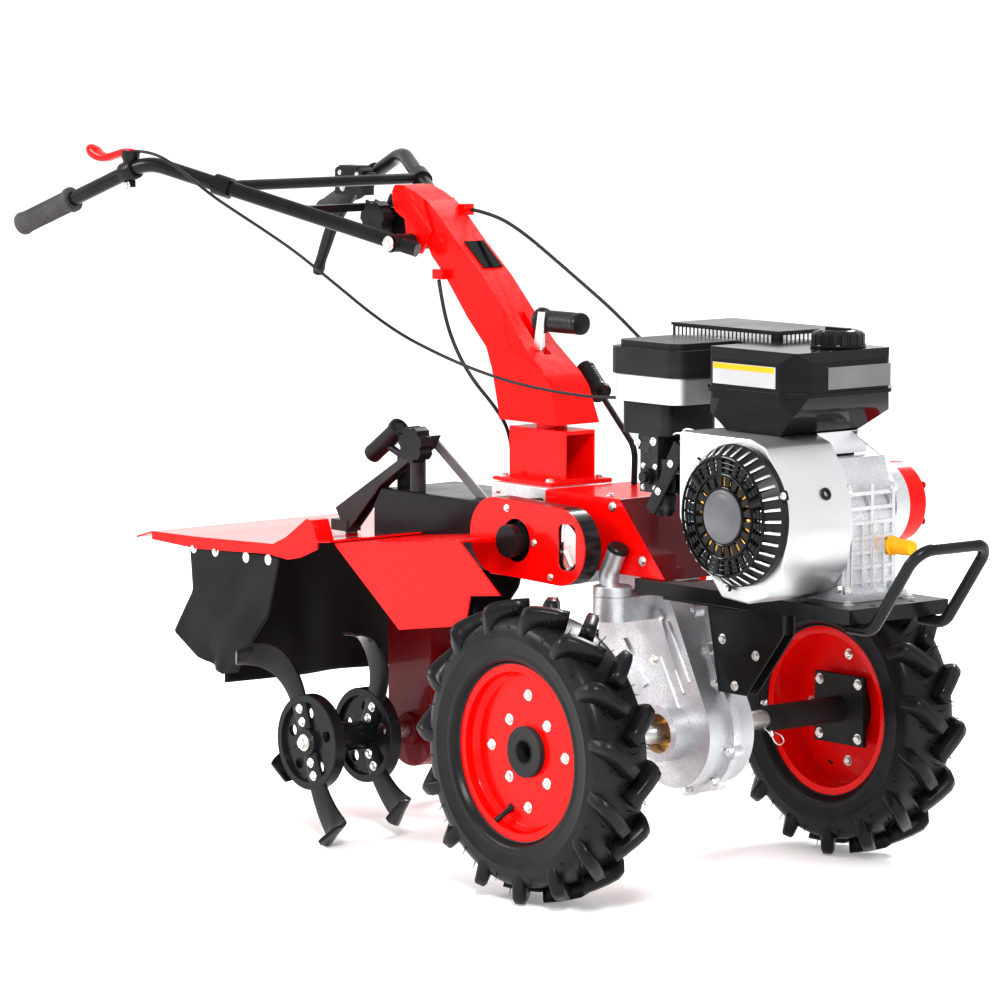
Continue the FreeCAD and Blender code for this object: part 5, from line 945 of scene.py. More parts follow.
def hung_sheet(name, top, bottom, left, right, out, wave, thick):
    """A sheet between four edges, with soft folds that grow towards its free lower edge."""
    across, down = 44, 30

    def build(shape):
        grid = []
        for j in range(down + 1):
            v = j / down
            row = []
            for i in range(across + 1):
                u = i / across
                edge = lerp_along(top, u).lerp(lerp_along(bottom, u), v) \
                    + lerp_along(left, v).lerp(lerp_along(right, v), u) \
                    - top[0].lerp(top[-1], u).lerp(bottom[0].lerp(bottom[-1], u), v)
                row.append(shape.verts.new(edge + out * wave(u, v)))
            grid.append(row)
        for upper, lower in zip(grid, grid[1:]):
            for i in range(across):
                shape.faces.new((upper[i], upper[i + 1], lower[i + 1], lower[i]))
    piece = made(name, "rubber", "chassis", build, 70)
    thicken = piece.modifiers.new("thickness", "SOLIDIFY")
    thicken.thickness = thick
    thicken.offset = 0.0
    return piece


def cut_area(outline):
    """Area of a flat outline given as pairs, in square metres."""
    pairs = zip(outline, outline[1:] + outline[:1])
    return abs(sum(x0 * z1 - x1 * z0 for (x0, z0), (x1, z1) in pairs)) / 2e6


# The side flap's outline in millimetres, x and z, from its upper rear corner round the bottom.
SIDE_FLAP = ((-957, 461), (-945, 375), (-997, 301), (-935, 265), (-862, 244), (-832, 250),
             (-792, 300), (-740, 356), (-712, 452))


FLAP_WASHER = {"Washer Radius": 1.7}
FLAP_BOLT = 0.0052


def side_wave(u, v):
    """Folds of a side flap at a share across and down."""
    return (0.0055 * v * math.sin(2 * math.pi * (1.3 * u + 0.35 * v))
            + 0.002 * v * math.sin(17 * u + 5 * v))


def rear_wave(u, v):
    """Folds of the rear flap at a share across and down."""
    return (0.007 * v * math.sin(2 * math.pi * (2.5 * u + 0.2 * v))
            + 0.003 * v * math.sin(23 * u - 3 * v))


def dress_flaps(thick):
    """The hood's two side flaps and its rear flap, with their bolts."""
    for name, side in SIDES:
        spots = [at(x, side * 264.7, z) for x, z in SIDE_FLAP]
        flap = hung_sheet("side_flap_sheet_" + name, [spots[0], spots[8]], spots[3:6], spots[0:4],
                          list(reversed(spots[5:9])), Vector((0, side, 0)), side_wave, thick)
        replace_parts(flap, "side_flap_" + name)
        cut_area(SIDE_FLAP)
    top = [at(-860, -262, 465), at(-860, 262, 465)]
    bottom = [at(-860, -262, 229), at(-860, 262, 229)]
    flap = hung_sheet("rear_flap_sheet", top, bottom, [top[0], bottom[0]], [top[1], bottom[1]],
                      -AHEAD, rear_wave, thick)
    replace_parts(flap, "rear_flap")
    spots = heads(-267, RIGHT, FLAP_BOLT, ((-944, 446), (-884, 446), (-800, 444), (-740, 446)))
    fasten("flap_bolts", mirrored(spots), "steel", "chassis", **FLAP_WASHER)
    spots = [(at(-862.4, y, 452), -AHEAD, FLAP_BOLT) for y in (-225, -110, 0, 110, 225)]
    fasten("rear_flap_bolts", spots, "steel", "chassis", **FLAP_WASHER)


# ------------------------------------------------------------------ grips and levers
def ribbed(length, radius, pitch, depth, flare=0.0):
    """Profile of a ribbed grip closed at its outer end, with a flare there and a collar inside."""
    points = [(0.0, 0.0), (0.0, radius * 0.72), (0.0016, radius * 0.95 + flare), (0.006, radius + flare),
              (0.012, radius + flare * 0.3), (0.014, radius - depth)]
    ribs = int((length - 0.03) / pitch)
    for k in range(ribs):
        along = 0.015 + k * pitch
        points += [(along + pitch * 0.12, radius - depth), (along + pitch * 0.3, radius),
                   (along + pitch * 0.72, radius), (along + pitch * 0.9, radius - depth)]
    points += [(length - 0.010, radius), (length - 0.008, radius + 0.003), (length - 0.001, radius + 0.003),
               (length, radius + 0.002), (length, radius * 0.6), (length - 0.004, 0.0)]
    return points


def bar_place(side, along):
    """A place on a handle tube at a distance in from its end, and the tube's direction there."""
    tip, inner = at(-1345, side * 325, 969), at(-1058, side * 271, 1082)
    way = (inner - tip).normalized()
    return tip + way * along, way


# Grips of the chassis levers: name, outer and inner end in millimetres, radius and rib pitch.
LEVER_GRIPS = (("gear", (-269, 0, 846), (-369, 0, 846), 0.0174, 0.0042),
               ("drive", (-369, 93, 764.5), (-318, 84, 726), 0.0154, 0.0042),
               ("depth", (-752, -40, 603), (-679, -40, 652), 0.0154, 0.0048))
GRIP_OVERHANG, SLEEVE_OVERHANG = 0.006, 0.0025


def dress_grips():
    """Ribbed grips of the handlebar, and the sleeves of the levers on the chassis."""
    profile = ribbed(0.132, 0.0185, 0.0058, 0.0011, 0.0016)
    for name, side in SIDES:
        start, way = bar_place(side, -GRIP_OVERHANG)
        sleeve = made("ribbed_grip_" + name, "grip_rubber", "handlebar_assembly",
                      lambda shape: turned(shape, profile, start, way, 40))
        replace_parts(sleeve, "grip_" + name)
    for name, outer, inner, radius, pitch in LEVER_GRIPS:
        outer, inner = at(*outer), at(*inner)
        outer = outer + (outer - inner).normalized() * SLEEVE_OVERHANG
        profile = ribbed((inner - outer).length, radius, pitch, 0.0009, 0.0006)
        made(name + "_grip_sleeve", "black_plastic", "chassis",
             lambda shape: turned(shape, profile, outer, inner - outer, 36))


# Stations of the two handlebar levers in millimetres: place, width and depth.
THUMB_LEVER = (((-1090, -279, 1094), 24, 15), ((-1112, -279, 1096), 20, 14), ((-1138, -279, 1091), 18, 13),
               ((-1162, -280, 1086), 19, 14), ((-1184, -281, 1088), 22, 17), ((-1200, -281, 1095), 24, 19),
               ((-1210, -281, 1101), 18, 14))
HAND_LEVER = (((-1168, 246, 1012), 20, 20), ((-1182, 248, 998), 22, 18), ((-1206, 248, 974), 24, 17),
              ((-1230, 248, 944), 24, 16), ((-1246, 247, 912), 23, 15), ((-1258, 246, 886), 20, 14),
              ((-1264, 246, 872), 20, 19), ((-1268, 246, 862), 15, 16))


def stations(rows):
    """A lever's rows, eased and in metres."""
    return eased([(at(*place), wide / 1000, deep / 1000) for place, wide, deep in rows])


def dress_levers():
    """The throttle's perch and thumb lever, and the clutch's perch and hand lever."""
    body = "handlebar_assembly"
    middle, way = bar_place(-1, 0.268)
    collar = [(-0.015, 0.0127), (-0.015, 0.0168), (-0.013, 0.0178), (0.013, 0.0178), (0.015, 0.0168),
              (0.015, 0.0127)]

    def throttle_perch(shape):
        turned(shape, collar, middle, way, 40)
        turned(shape, [(0.0, 0.0), (0.0, 0.012), (0.008, 0.0125), (0.014, 0.0155), (0.024, 0.0155),
                       (0.0255, 0.0135), (0.0255, 0.0)], middle + UP * 0.009, (0.1, 0, 1), 28)
        box(shape, middle + Vector((-0.007, -0.006, -0.027)), middle + Vector((0.007, 0.006, -0.015)),
            0.002)
    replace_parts(made("throttle_perch", "black_plastic", body, throttle_perch), "throttle_lever")
    made("throttle_thumb_lever", "red_plastic", body,
         lambda shape: swept(shape, stations(THUMB_LEVER), LEFT, 12, 0.7))
    fasten("throttle_bolts", [(at(-1096, -279, 1103.4), UP, 0.0038),
                              (middle + Vector((0, -0.0062, -0.024)), RIGHT, 0.006)], "steel", body)
    middle, way = bar_place(1, 0.190)

    def clutch_perch(shape):
        turned(shape, [(a * 1.3, r) for a, r in collar], middle, way, 40)
        low, high = middle + Vector((-0.034, -0.056, -0.032)), middle + Vector((0.042, -0.029, 0.016))
        box(shape, low, high, 0.005)
        box(shape, low + Vector((0.012, -0.001, 0.044)), high + Vector((-0.014, 0.001, 0.003)), 0.002)
        turned(shape, [(0.0, 0.0), (0.0, 0.009), (0.034, 0.008), (0.034, 0.0)], middle, RIGHT, 24)
        turned(shape, [(0.0, 0.0), (0.0, 0.009), (0.012, 0.0075), (0.03, 0.005), (0.032, 0.0)],
               middle + Vector((0.04, -0.042, 0.0)), (1, 0, 0.1), 20)
    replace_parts(made("clutch_perch", "black_plastic", body, clutch_perch), "clutch_lever")
    made("clutch_hand_lever", "black_plastic", body,
         lambda shape: swept(shape, stations(HAND_LEVER), AHEAD, 12, 0.7))
    fasten("clutch_bolts", [(middle + Vector((-0.012, -0.0562, -0.02)), RIGHT, 0.005),
                            (middle + Vector((0.028, -0.0562, 0.004)), RIGHT, 0.0035),
                            (middle + Vector((-0.02, -0.0562, 0.006)), RIGHT, 0.0035)], "steel", body)


# ------------------------------------------------------------------ tine reels
# The machine's side, the disc's distance from the middle in millimetres and its tines' directions.
TINES = ((-1, 245, (-71, 109)), (-1, 130, (62, -58, 182)), (1, 130, (74, -46, 194)), (1, 245, (-153, 27)))
# A tine from its root: reach from the axle, lean in degrees, width and how far it curls aside.
BLADE = ((0.020, 0.0, 0.034, 0.0), (0.055, 0.5, 0.038, 0.0), (0.090, 3.0, 0.043, 0.0),
         (0.120, 7.0, 0.048, 0.002), (0.146, 12.0, 0.051, 0.007), (0.164, 17.0, 0.052, 0.017),
         (0.173, 20.5, 0.052, 0.031), (0.176, 22.5, 0.048, 0.045), (0.177, 24.0, 0.040, 0.0545))
# A reel disc's radii: its boss, its rolled rim, its holes' centres and its holes; half its thickness.
BOSS_EDGE, RIM_EDGE, HOLE_RING, HOLE, DISC_HALF = 0.0335, 0.0645, 0.0468, 0.010, 0.004
DISC_HOLES = 5


def side_tines(side):
    """The disc and the direction of every tine on a side."""
    return [(disc, root) for tine_side, disc, roots in TINES if tine_side == side for root in roots]


def blade(shape, axle, root, y, side):
    """One tine: a stem that sweeps back and curls over sideways into a scoop."""
    rows = []
    for reach, lean, wide, aside in BLADE:
        turn = math.radians(root + lean)
        place = Vector((reach * math.cos(turn), y + side * (0.0035 + aside), reach * math.sin(turn)))
        rows.append((axle + place, wide, 0.007 if reach < 0.16 else 0.0062))
    turn = math.radians(root + 24)
    along = Vector((-math.sin(turn), 0, math.cos(turn)))
    swept(shape, eased(rows, 4), along, 10, 0.45)


def reel_disc(shape, middle):
    """A pressed disc: boss, round holes and a rolled rim."""
    half = DISC_HALF
    rim = [(-0.0112, 0.066), (-0.0112, 0.0765), (-0.0095, 0.078), (0.0095, 0.078), (0.0112, 0.0765),
           (0.0112, 0.066), (half, RIM_EDGE), (-half, RIM_EDGE)]
    turned(shape, rim, middle, LEFT, 72)
    boss = [(-half, 0.0215), (-half, BOSS_EDGE), (half, BOSS_EDGE), (half, 0.0215)]
    turned(shape, boss, middle, LEFT, 60)
    turns = [2 * math.pi * k / DISC_HOLES + math.pi / 2 for k in range(DISC_HOLES)]
    for face in (-half, half):
        for turn in turns:
            web(shape, middle + LEFT * face, turn)
    for turn in turns:
        turned(shape, [(-half, HOLE), (half, HOLE)], middle + spoke(turn) * HOLE_RING, LEFT, 20,
               closed=False)


def web(shape, middle, turn):
    """A flat sector of a disc round one hole."""
    centre = spoke(turn) * HOLE_RING
    ring, edge = [], []
    for k in range(20):
        way = spoke(turn + 2 * math.pi * (k + 0.5) / 20)
        ring.append(shape.verts.new(middle + centre + way * HOLE))
        edge.append(shape.verts.new(middle + sector_edge(centre, way, turn)))
    bridge(shape, [edge, ring])


def sector_edge(centre, way, turn):
    """Where a ray from a hole's centre leaves the ring sector round it."""
    step = 0.0004
    reach = 0.0
    while True:
        spot = centre + way * (reach + step)
        radius = math.hypot(spot.x, spot.z)
        off = (math.atan2(spot.z, spot.x) - turn + math.pi) % (2 * math.pi) - math.pi
        if not BOSS_EDGE < radius < RIM_EDGE or abs(off) > math.pi / DISC_HOLES:
            return centre + way * reach
        reach += step


def dress_reels():
    """Both tine reels: tube, discs and curled tines, with their bolts."""
    axle = at(-655, 0, 154.6)
    tube = [(0.112, 0.0142), (0.112, 0.022), (0.1135, 0.023), (0.2565, 0.023), (0.258, 0.022),
            (0.258, 0.0142)]
    for name, side in SIDES:
        out = Vector((0, side, 0))

        def reel(shape):
            for middle in (130, 245):
                reel_disc(shape, axle + LEFT * side * middle / 1000)
            turned(shape, tube, axle, out, 48)
            for disc, root in side_tines(side):
                blade(shape, axle, root, side * (disc + 3.4) / 1000, side)
        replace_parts(made("tine_reel_" + name, "black_paint", "tine_rotor", reel, 40), "tines_" + name)
        spots = []
        for disc, root in side_tines(side):
            turn = math.radians(root)
            for reach in (0.034, 0.056):
                place = axle + Vector((math.cos(turn) * reach, side * (disc + 10.4) / 1000,
                                       math.sin(turn) * reach))
                spots += [(place, out, 0.006), (place - out * 0.0146, -out, 0.006)]
        spots.append((axle + out * 0.2622, out, 0.0095))
        fasten("reel_bolts_" + name, spots, "steel", "tine_rotor")


# ------------------------------------------------------------------ engine
STARTER_ARMS = [math.radians(turn) for turn in (20, 140, 260)]
# The starter's hoops from its middle: radius, thickness and how far each stands out.
STARTER_HOOPS = ((0.0430, 0.0016, 0.0004), (0.0626, 0.0019, 0.0006), (0.0726, 0.0011, -0.0002),
                 (0.0796, 0.0011, -0.0002), (0.0880, 0.0022, 0.0002))
# Bright guard cells, painted light where the guard's holes show light and the silver muffler through them:
# pitch, width, height and thickness of a cell, and the margins at a wall's ends.
CELL_PITCH, CELL_WIDTH, CELL_HEIGHT, CELL_THICK = 0.0088, 0.0056, 0.015, 0.0006
CELL_START, CELL_MARGINS = 0.011, 0.02


def hoop(shape, middle, way, radius, thick, steps=72, sides=8):
    """A round ring about a line."""
    turns = [2 * math.pi * k / sides for k in range(sides)]
    section = [(thick * math.cos(turn), radius + thick * math.sin(turn)) for turn in turns]
    turned(shape, section, middle, way, steps)


def vane(name, outline, rise, chamfer):
    """A blade for a ring of copies: its outline from the ring's middle outwards, and its rise."""
    root = [Vector((x, -0.0004, z)) for x, z in outline]
    return mesh_of(name, lambda shape: slab(shape, root, Vector(rise), chamfer))


def dress_starter(louvre_count):
    """The recoil starter's centre, hoops, fan, louvres, back wall and screws."""
    low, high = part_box("recoil_starter")
    middle = Vector(((low.x + high.x) / 2, low.y, (low.z + high.z) / 2))

    def cap(shape):
        turned(shape, [(-0.0006, 0.0), (-0.0006, 0.0405), (0.0022, 0.0402), (0.0036, 0.0385),
                       (0.0042, 0.0355), (0.0046, 0.033), (0.0060, 0.030), (0.0070, 0.022),
                       (0.0074, 0.010), (0.0075, 0.0)], middle, RIGHT, 72)
    made("starter_centre", "grey_metal", "chassis", cap)

    def ribs(shape):
        for radius, thick, rise in STARTER_HOOPS:
            hoop(shape, middle + RIGHT * rise, RIGHT, radius, thick)
        for turn in STARTER_ARMS:
            way = spoke(turn)
            swept(shape, [(middle + way * 0.061 + RIGHT * 0.0004, 0.009, 0.004),
                          (middle + way * 0.088 + RIGHT * 0.0004, 0.012, 0.004)], way.cross(LEFT), 8)
            tab = middle + way * 0.104 + LEFT * 0.027
            swept(shape, [(tab, 0.02, 0.006), (tab + way * 0.011, 0.015, 0.006)], way.cross(LEFT), 10)
    made("starter_ribs", "gloss_black", "chassis", ribs)

    def louvre(shape):
        slab(shape, [Vector((0.0905, -0.0014, -0.0016)), Vector((0.0905, -0.0014, 0.0016)),
                     Vector((0.1035, 0.0195, 0.0024)), Vector((0.1035, 0.0195, -0.0024))],
             Vector((0.0010, -0.0007, 0)), 0.0004)
    fan = vane("fan_vane", ((0.030, -0.004), (0.061, -0.010), (0.063, 0.001), (0.031, 0.0005)),
               (0, -0.004, 0.0025), 0.0006)
    outer = vane("outer_vane", ((0.067, -0.002), (0.086, -0.005), (0.087, 0.001), (0.067, 0.001)),
                 (0, -0.003, 0.0015), 0.0005)
    for name, seed, count, depth, slot in (
            ("starter_fan", fan, 26, 0.0075, "brass"),
            ("starter_louvres", mesh_of("louvre", louvre), louvre_count, 0.0012, "steel"),
            ("starter_vanes", outer, 34, 0.0062, "steel")):
        ring = {"Count": count, "Centre": tuple(middle + LEFT * depth)}
        grown(name, seed, "ring", ring, slot, "chassis")

    def backing(shape):
        turned(shape, [(0.0, 0.0), (0.0, 0.094), (0.0012, 0.094), (0.0012, 0.0)],
               middle + LEFT * 0.012, LEFT, 64)
    made("starter_well", "black_plastic", "chassis", backing)
    spots = [(middle + spoke(turn) * 0.1105 + LEFT * 0.0236, RIGHT, 0.0048) for turn in STARTER_ARMS]
    fasten("starter_screws", spots, "steel", "chassis")


def dress_tank():
    """The fuel tank's plain plates and stripe, the stay under it and the cap's grip."""
    plate("tank_side_plate", "blank_plate",
          (((222, -165.2, 797), (358, -165.2, 797), (358, -165.2, 829), (222, -165.2, 829)),
           RIGHT * 0.0012, 0.0006))
    plate("tank_front_plate", "front_plate",
          (((400.2, -99, 795), (400.2, 28, 795), (400.2, 28, 828), (400.2, -99, 828)),
           AHEAD * 0.0012, 0.0006))
    plate("tank_stripe", "yellow_plastic",
          (((224, -166.3, 820), (356, -166.3, 820), (356, -166.3, 828), (224, -166.3, 828)),
           RIGHT * 0.0005, 0.0002))
    plate("tank_stay", "silver_paint",
          (((336, -62, 724), (336, 48, 724), (336, 40, 690), (336, -48, 690)), AHEAD * 0.003, 0.0008),
          (((336, 8, 722), (336, 46, 722), (386, 46, 690), (386, 20, 690)),
           Vector((0.0012, 0, 0.002)), 0.0006))

    def cap_top(shape):
        middle = at(338, -20, 874.3)
        turned(shape, [(-0.0006, 0.0), (-0.0006, 0.031), (0.0012, 0.0305), (0.0022, 0.028),
                       (0.0016, 0.020), (0.0016, 0.0)], middle, UP, 48)
        corners = ((-0.024, -0.004), (0.024, -0.004), (0.024, 0.004), (-0.024, 0.004))
        slab(shape, [middle + Vector((x, y, 0.0012)) for x, y in corners], UP * 0.004, 0.0015)
        turned(shape, [(-0.0236, 0.0405), (-0.0236, 0.0416), (-0.0212, 0.0420), (-0.0192, 0.0412),
                       (-0.0192, 0.0405)], middle, UP, 64)
    made("cap_trim", "gloss_black", "chassis", cap_top)


def dress_guard():
    """Bright silver cells in two rows round the muffler guard's upper walls: painted light for the light
    and the silver muffler seen through the guard's holes.
    """
    low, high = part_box("muffler_guard")

    def cells(shape):
        for z in (high.z - 0.040, high.z - 0.021):
            for along, across in ((0, 1), (1, 0)):
                count = int((high[along] - low[along] - CELL_MARGINS) / CELL_PITCH)
                for wall, front in ((low[across], low[across] - CELL_THICK),
                                    (high[across], high[across] + CELL_THICK)):
                    for k in range(count):
                        place = low[along] + CELL_START + CELL_PITCH * k
                        start, end = Vector((0, 0, z)), Vector((0, 0, z + CELL_HEIGHT))
                        start[along], end[along] = place, place + CELL_WIDTH
                        start[across], end[across] = sorted((wall, front))
                        box(shape, start, end, 0)
    made("guard_painted_light_cells", "silver_paint", "chassis", cells)


def dress_crankcase():
    """The cowl's grommet and the engine's bolts."""
    def grommet(shape):
        turned(shape, [(-0.002, 0.0), (-0.002, 0.0095), (0.0024, 0.0095), (0.0032, 0.0082),
                       (0.0032, 0.0052), (-0.0006, 0.0044), (-0.0006, 0.0)],
               at(403.4, -106, 642), Vector((0.93, 0, 0.37)), 28)
    made("cowl_grommet", "black_plastic", "chassis", grommet)
    turns = [math.radians(60 * k + 30) for k in range(6)]
    spots = [(at(310 + 54 * math.cos(turn), 127.4, 609 + 54 * math.sin(turn)) + AHEAD * 0.014,
              LEFT, 0.0046) for turn in turns]
    spots += heads(55.4, LEFT, 0.0056, ((202, 486), (202, 580), (202, 670), (250, 676), (376, 486),
                                        (376, 560), (372, 650), (290, 484)))
    spots += heads(-55.9, RIGHT, 0.0056, ((196, 486), (196, 540), (380, 494)))
    spots += [(at(393, y, z), AHEAD, 0.005) for y in (-48, 46) for z in (492, 640)]
    spots += [(at(408, y, 474.4), UP, 0.0068) for y in (-62, 62)]
    fasten("engine_bolts", spots, "steel", "chassis")


def dress_carburettor():
    """The carburettor's bowl, intake and jets, its levers, rods and spring, and its bolts."""
    body = "chassis"

    def intake(shape):
        turned(shape, [(0.0, 0.0), (0.0, 0.017), (0.004, 0.019), (0.022, 0.019), (0.026, 0.017),
                       (0.034, 0.012), (0.036, 0.0)], at(46, -104, 612), -UP, 36)
        turned(shape, [(0.0, 0.0), (0.0, 0.0085), (0.03, 0.0085), (0.034, 0.006), (0.034, 0.0)],
               at(70, -98, 640), AHEAD, 24)
        turned(shape, [(0.0, 0.0), (0.0, 0.012), (0.006, 0.012), (0.006, 0.008), (0.014, 0.008),
                       (0.014, 0.0)], at(46, -136.5, 640), RIGHT, 28)
        for z in (622, 658):
            turned(shape, [(0.0, 0.0), (0.0, 0.005), (0.012, 0.005), (0.012, 0.0)], at(70, -84, z),
                   AHEAD, 16)
        box(shape, at(18, -100, 660), at(60, -72, 668), 0.002)
        box(shape, at(80, -112, 622), at(92, -104, 676), 0.002)
    made("carburettor_parts", "dark_casting", body, intake)

    def linkage(shape):
        swept(shape, eased([(at(118, -137, 692), 0.030, 0.005), (at(102, -138, 664), 0.028, 0.005),
                            (at(84, -139, 634), 0.024, 0.005), (at(66, -140, 606), 0.024, 0.005),
                            (at(55, -140, 588), 0.020, 0.005)]), AHEAD + UP * 0.4, 10, 0.4)
        box(shape, at(60, -92, 668), at(96, -80, 700), 0.002)
        box(shape, at(-6, -112, 676), at(20, -98, 700), 0.002)
    made("control_lever", "black_plastic", body, linkage)

    def choke(shape):
        swept(shape, eased([(at(96, -116, 652), 0.01, 0.0035), (at(112, -124, 656), 0.012, 0.0035),
                            (at(124, -132, 664), 0.016, 0.004)]), UP, 8)
    made("choke_lever", "black_plastic", body, choke)
    spring = [(60 + k * 1.6, -114 + 3.2 * math.cos(k * 1.9), 648 + 3.2 * math.sin(k * 1.9))
              for k in range(22)]
    governor = [(4, -104, 690), (30, -112, 684), (58, -114, 660), (64, -114, 648)]
    throttle = [(96, -114, 650), (104, -110, 672), (110, -104, 694), (132, -98, 702)]
    rods = [("governor_spring", spring, 0.0012), ("governor_rod", governor, 0.0022),
            ("throttle_rod", throttle, 0.0022)]
    for k, (x, z) in enumerate(((112, 708), (134, 716), (154, 704), (126, 698))):
        rods.append(("link_rod_%d" % (k + 1),
                     [(x - 14, -132, z), (x, -135, z + 7), (x + 16, -130, z - 2)], 0.004))
    for name, route, width in rods:
        round_rod(name, route, width, "steel", body)
    spots = heads(-140.8, RIGHT, 0.0045, ((100, 664),)) + heads(-142.6, RIGHT, 0.0045, ((74, 620),))
    spots += heads(-136.2, RIGHT, 0.005, ((20, 690), (56, 694)))
    spots += heads(-136.3, RIGHT, 0.0034, ((33, 623), (60, 656), (60, 623), (33, 656)))
    fasten("carburettor_bolts", spots, "steel", body)


def dress_dipstick():
    """The oil dipstick's ribbed yellow head."""
    def dipstick_head(shape):
        start = at(391, 42, 553)
        turned(shape, [(0.0, 0.0), (0.0, 0.0145), (0.005, 0.0145), (0.006, 0.0122), (0.041, 0.0112),
                       (0.0455, 0.0096), (0.0462, 0.0)], start, AHEAD, 32)
        for k in range(8):
            turn = 2 * math.pi * k / 8
            way = Vector((0, math.cos(turn), math.sin(turn)))
            swept(shape, [(start + AHEAD * 0.008 + way * 0.0112, 0.003, 0.003),
                          (start + AHEAD * 0.042 + way * 0.0104, 0.003, 0.003)], way.cross(AHEAD), 6)
    made("dipstick_head", "yellow_plastic", "chassis", dipstick_head)


# ------------------------------------------------------------------ chassis
# The belt's two pulleys: the angle where the belt meets each, its middle and radius in millimetres.
PULLEYS = ((90, -240, 517, 44.5), (-90, -136, 516, 35.5))
BELT_Y = -146.5


def case_ears():
    """Places of the bolt ears on the gear case's split flange."""
    turns = [math.radians(turn) for turn in (-135, -95, -55, -15)]
    foot = [(94 * math.cos(turn), 232 + 94 * math.sin(turn)) for turn in turns]
    return foot + [(59.3, 312.9), (32.7, 359.7), (0.1, 416.9)]


def chassis_bolts():
    """Bolts of the gear case, the legs, the gearbox, the covers and the column."""
    spots = heads(-9.2, RIGHT, 0.0062, case_ears())
    spots += heads(-13.5, RIGHT, 0.0062, ((80, 383), (155, 365), (108, 313)))
    spots += heads(-46.2, RIGHT, 0.0058, ((-22, 408), (-42, 340)))
    spots += heads(-90.2, RIGHT, 0.006, ((-90, 578), (-20, 500), (-235, 492)))
    spots += heads(-80.4, RIGHT, 0.006, ((-382, 460), (-382, 578)))
    spots += heads(-88.2, RIGHT, 0.0095, ((-648, 958.6),))
    spots = mirrored(spots)
    spots += [(at(x, y, 597.5), UP, 0.0066) for x in (-398, -284) for y in (-52, 52)]
    spots += heads(-160.4, RIGHT, 0.0046, ((-262, 566), (-156, 467), (-196, 517)))
    return spots + [(at(-118, y, 591.2), UP, 0.0055) for y in (-70, 70)]


def dress_chassis():
    """Bolts, seals, ribs, gear strap, filler plug, front pulley, belt and the column's plate."""
    body = "chassis"
    fasten("chassis_bolts", chassis_bolts(), "steel", body)

    def seals(shape):
        for side in (-1, 1):
            turned(shape, [(0.0, 0.0156), (0.0, 0.0306), (0.004, 0.0306), (0.006, 0.026),
                           (0.007, 0.020), (0.006, 0.0156)], at(0, side * 51, 232),
                   Vector((0, side, 0)), 48)
    made("axle_seals", "brass", body, seals)

    def case_ribs(shape):
        along = Vector((-0.0593, 0, 0.1038)).normalized()
        inward = Vector((-along.z, 0, along.x))
        for side in (-1, 1):
            for step, low, high in ((0.016, 0.010, 0.112), (0.037, 0.0, 0.100), (0.058, -0.020, 0.070)):
                foot = at(59.3, side * 46.0, 313) + inward * step
                swept(shape, [(foot + along * low, 0.007, 0.007), (foot + along * high, 0.007, 0.007)],
                      inward, 8)
    made("case_ribs", "cast_aluminium", body, case_ribs)

    def crankcase_ribs(shape):
        for k in range(7):
            z = 500 + 22 * k
            box(shape, at(386, -46, z), at(391, 50, z + 6), 0.0015)
        for y in (-46, 2, 46):
            box(shape, at(386, y - 3, 490), at(391.5, y + 3, 650), 0.0015)
    made("crankcase_ribs", "cast_aluminium", body, crankcase_ribs)
    plate("gear_strap", "steel",
          (((-352, -18.4, 862), (-334, -18.4, 862), (-346, -18.4, 800), (-364, -18.4, 800)),
           RIGHT * 0.002, 0.0008))

    def plug(shape):
        turned(shape, [(-0.010, 0.0), (-0.010, 0.0118), (0.0006, 0.0118), (0.0006, 0.0166),
                       (0.006, 0.0166), (0.0085, 0.014), (0.0085, 0.0)], at(-60, -106, 513.4),
               (0.22, 0, 0.40), 36)
    made("filler_plug", "black_plastic", body, plug)

    def engine_pulley(shape):
        turned(shape, [(0.0, 0.0), (0.0, 0.038), (0.003, 0.0395), (0.0065, 0.033), (0.0085, 0.033),
                       (0.012, 0.0395), (0.015, 0.038), (0.015, 0.0)], at(-136, -138, 516), RIGHT, 60)
        face = at(-136, -153.6, 516)
        for k in range(5):
            way = spoke(2 * math.pi * k / 5 + 0.3)
            swept(shape, [(face + way * 0.008, 0.008, 0.004), (face + way * 0.036, 0.006, 0.003)],
                  way.cross(LEFT), 8)
    made("front_pulley", "steel", body, engine_pulley)
    made("drive_belt", "black_plastic", body, drive_belt)
    plate("column_plate", "gloss_black",
          (((-541, -17, 963.8), (-491, -17, 923.8), (-491, 23, 923.8), (-541, 23, 963.8)),
           Vector((0.0010, 0, 0.00125)), 0.0005))


def drive_belt(shape):
    """V-belt round both pulleys: a wedge-shaped band along a closed route."""
    points = []
    for start, x, z, radius in PULLEYS:
        for k in range(9):
            turn = math.radians(start + k * 22.5)
            points.append(at(x + radius * math.cos(turn), BELT_Y, z + radius * math.sin(turn)))
    between = at(-190, BELT_Y, 517)
    sections = []
    for k, point in enumerate(points):
        along = (points[(k + 1) % len(points)] - points[k - 1]).normalized()
        out = along.cross(LEFT).normalized()
        out = out if out.dot(point - between) > 0 else -out
        sections.append([point + out * 0.004 + LEFT * 0.005, point + out * 0.004 - LEFT * 0.005,
                         point - out * 0.003 - LEFT * 0.003, point - out * 0.003 + LEFT * 0.003])
    loft(shape, sections + sections[:1], caps=False)


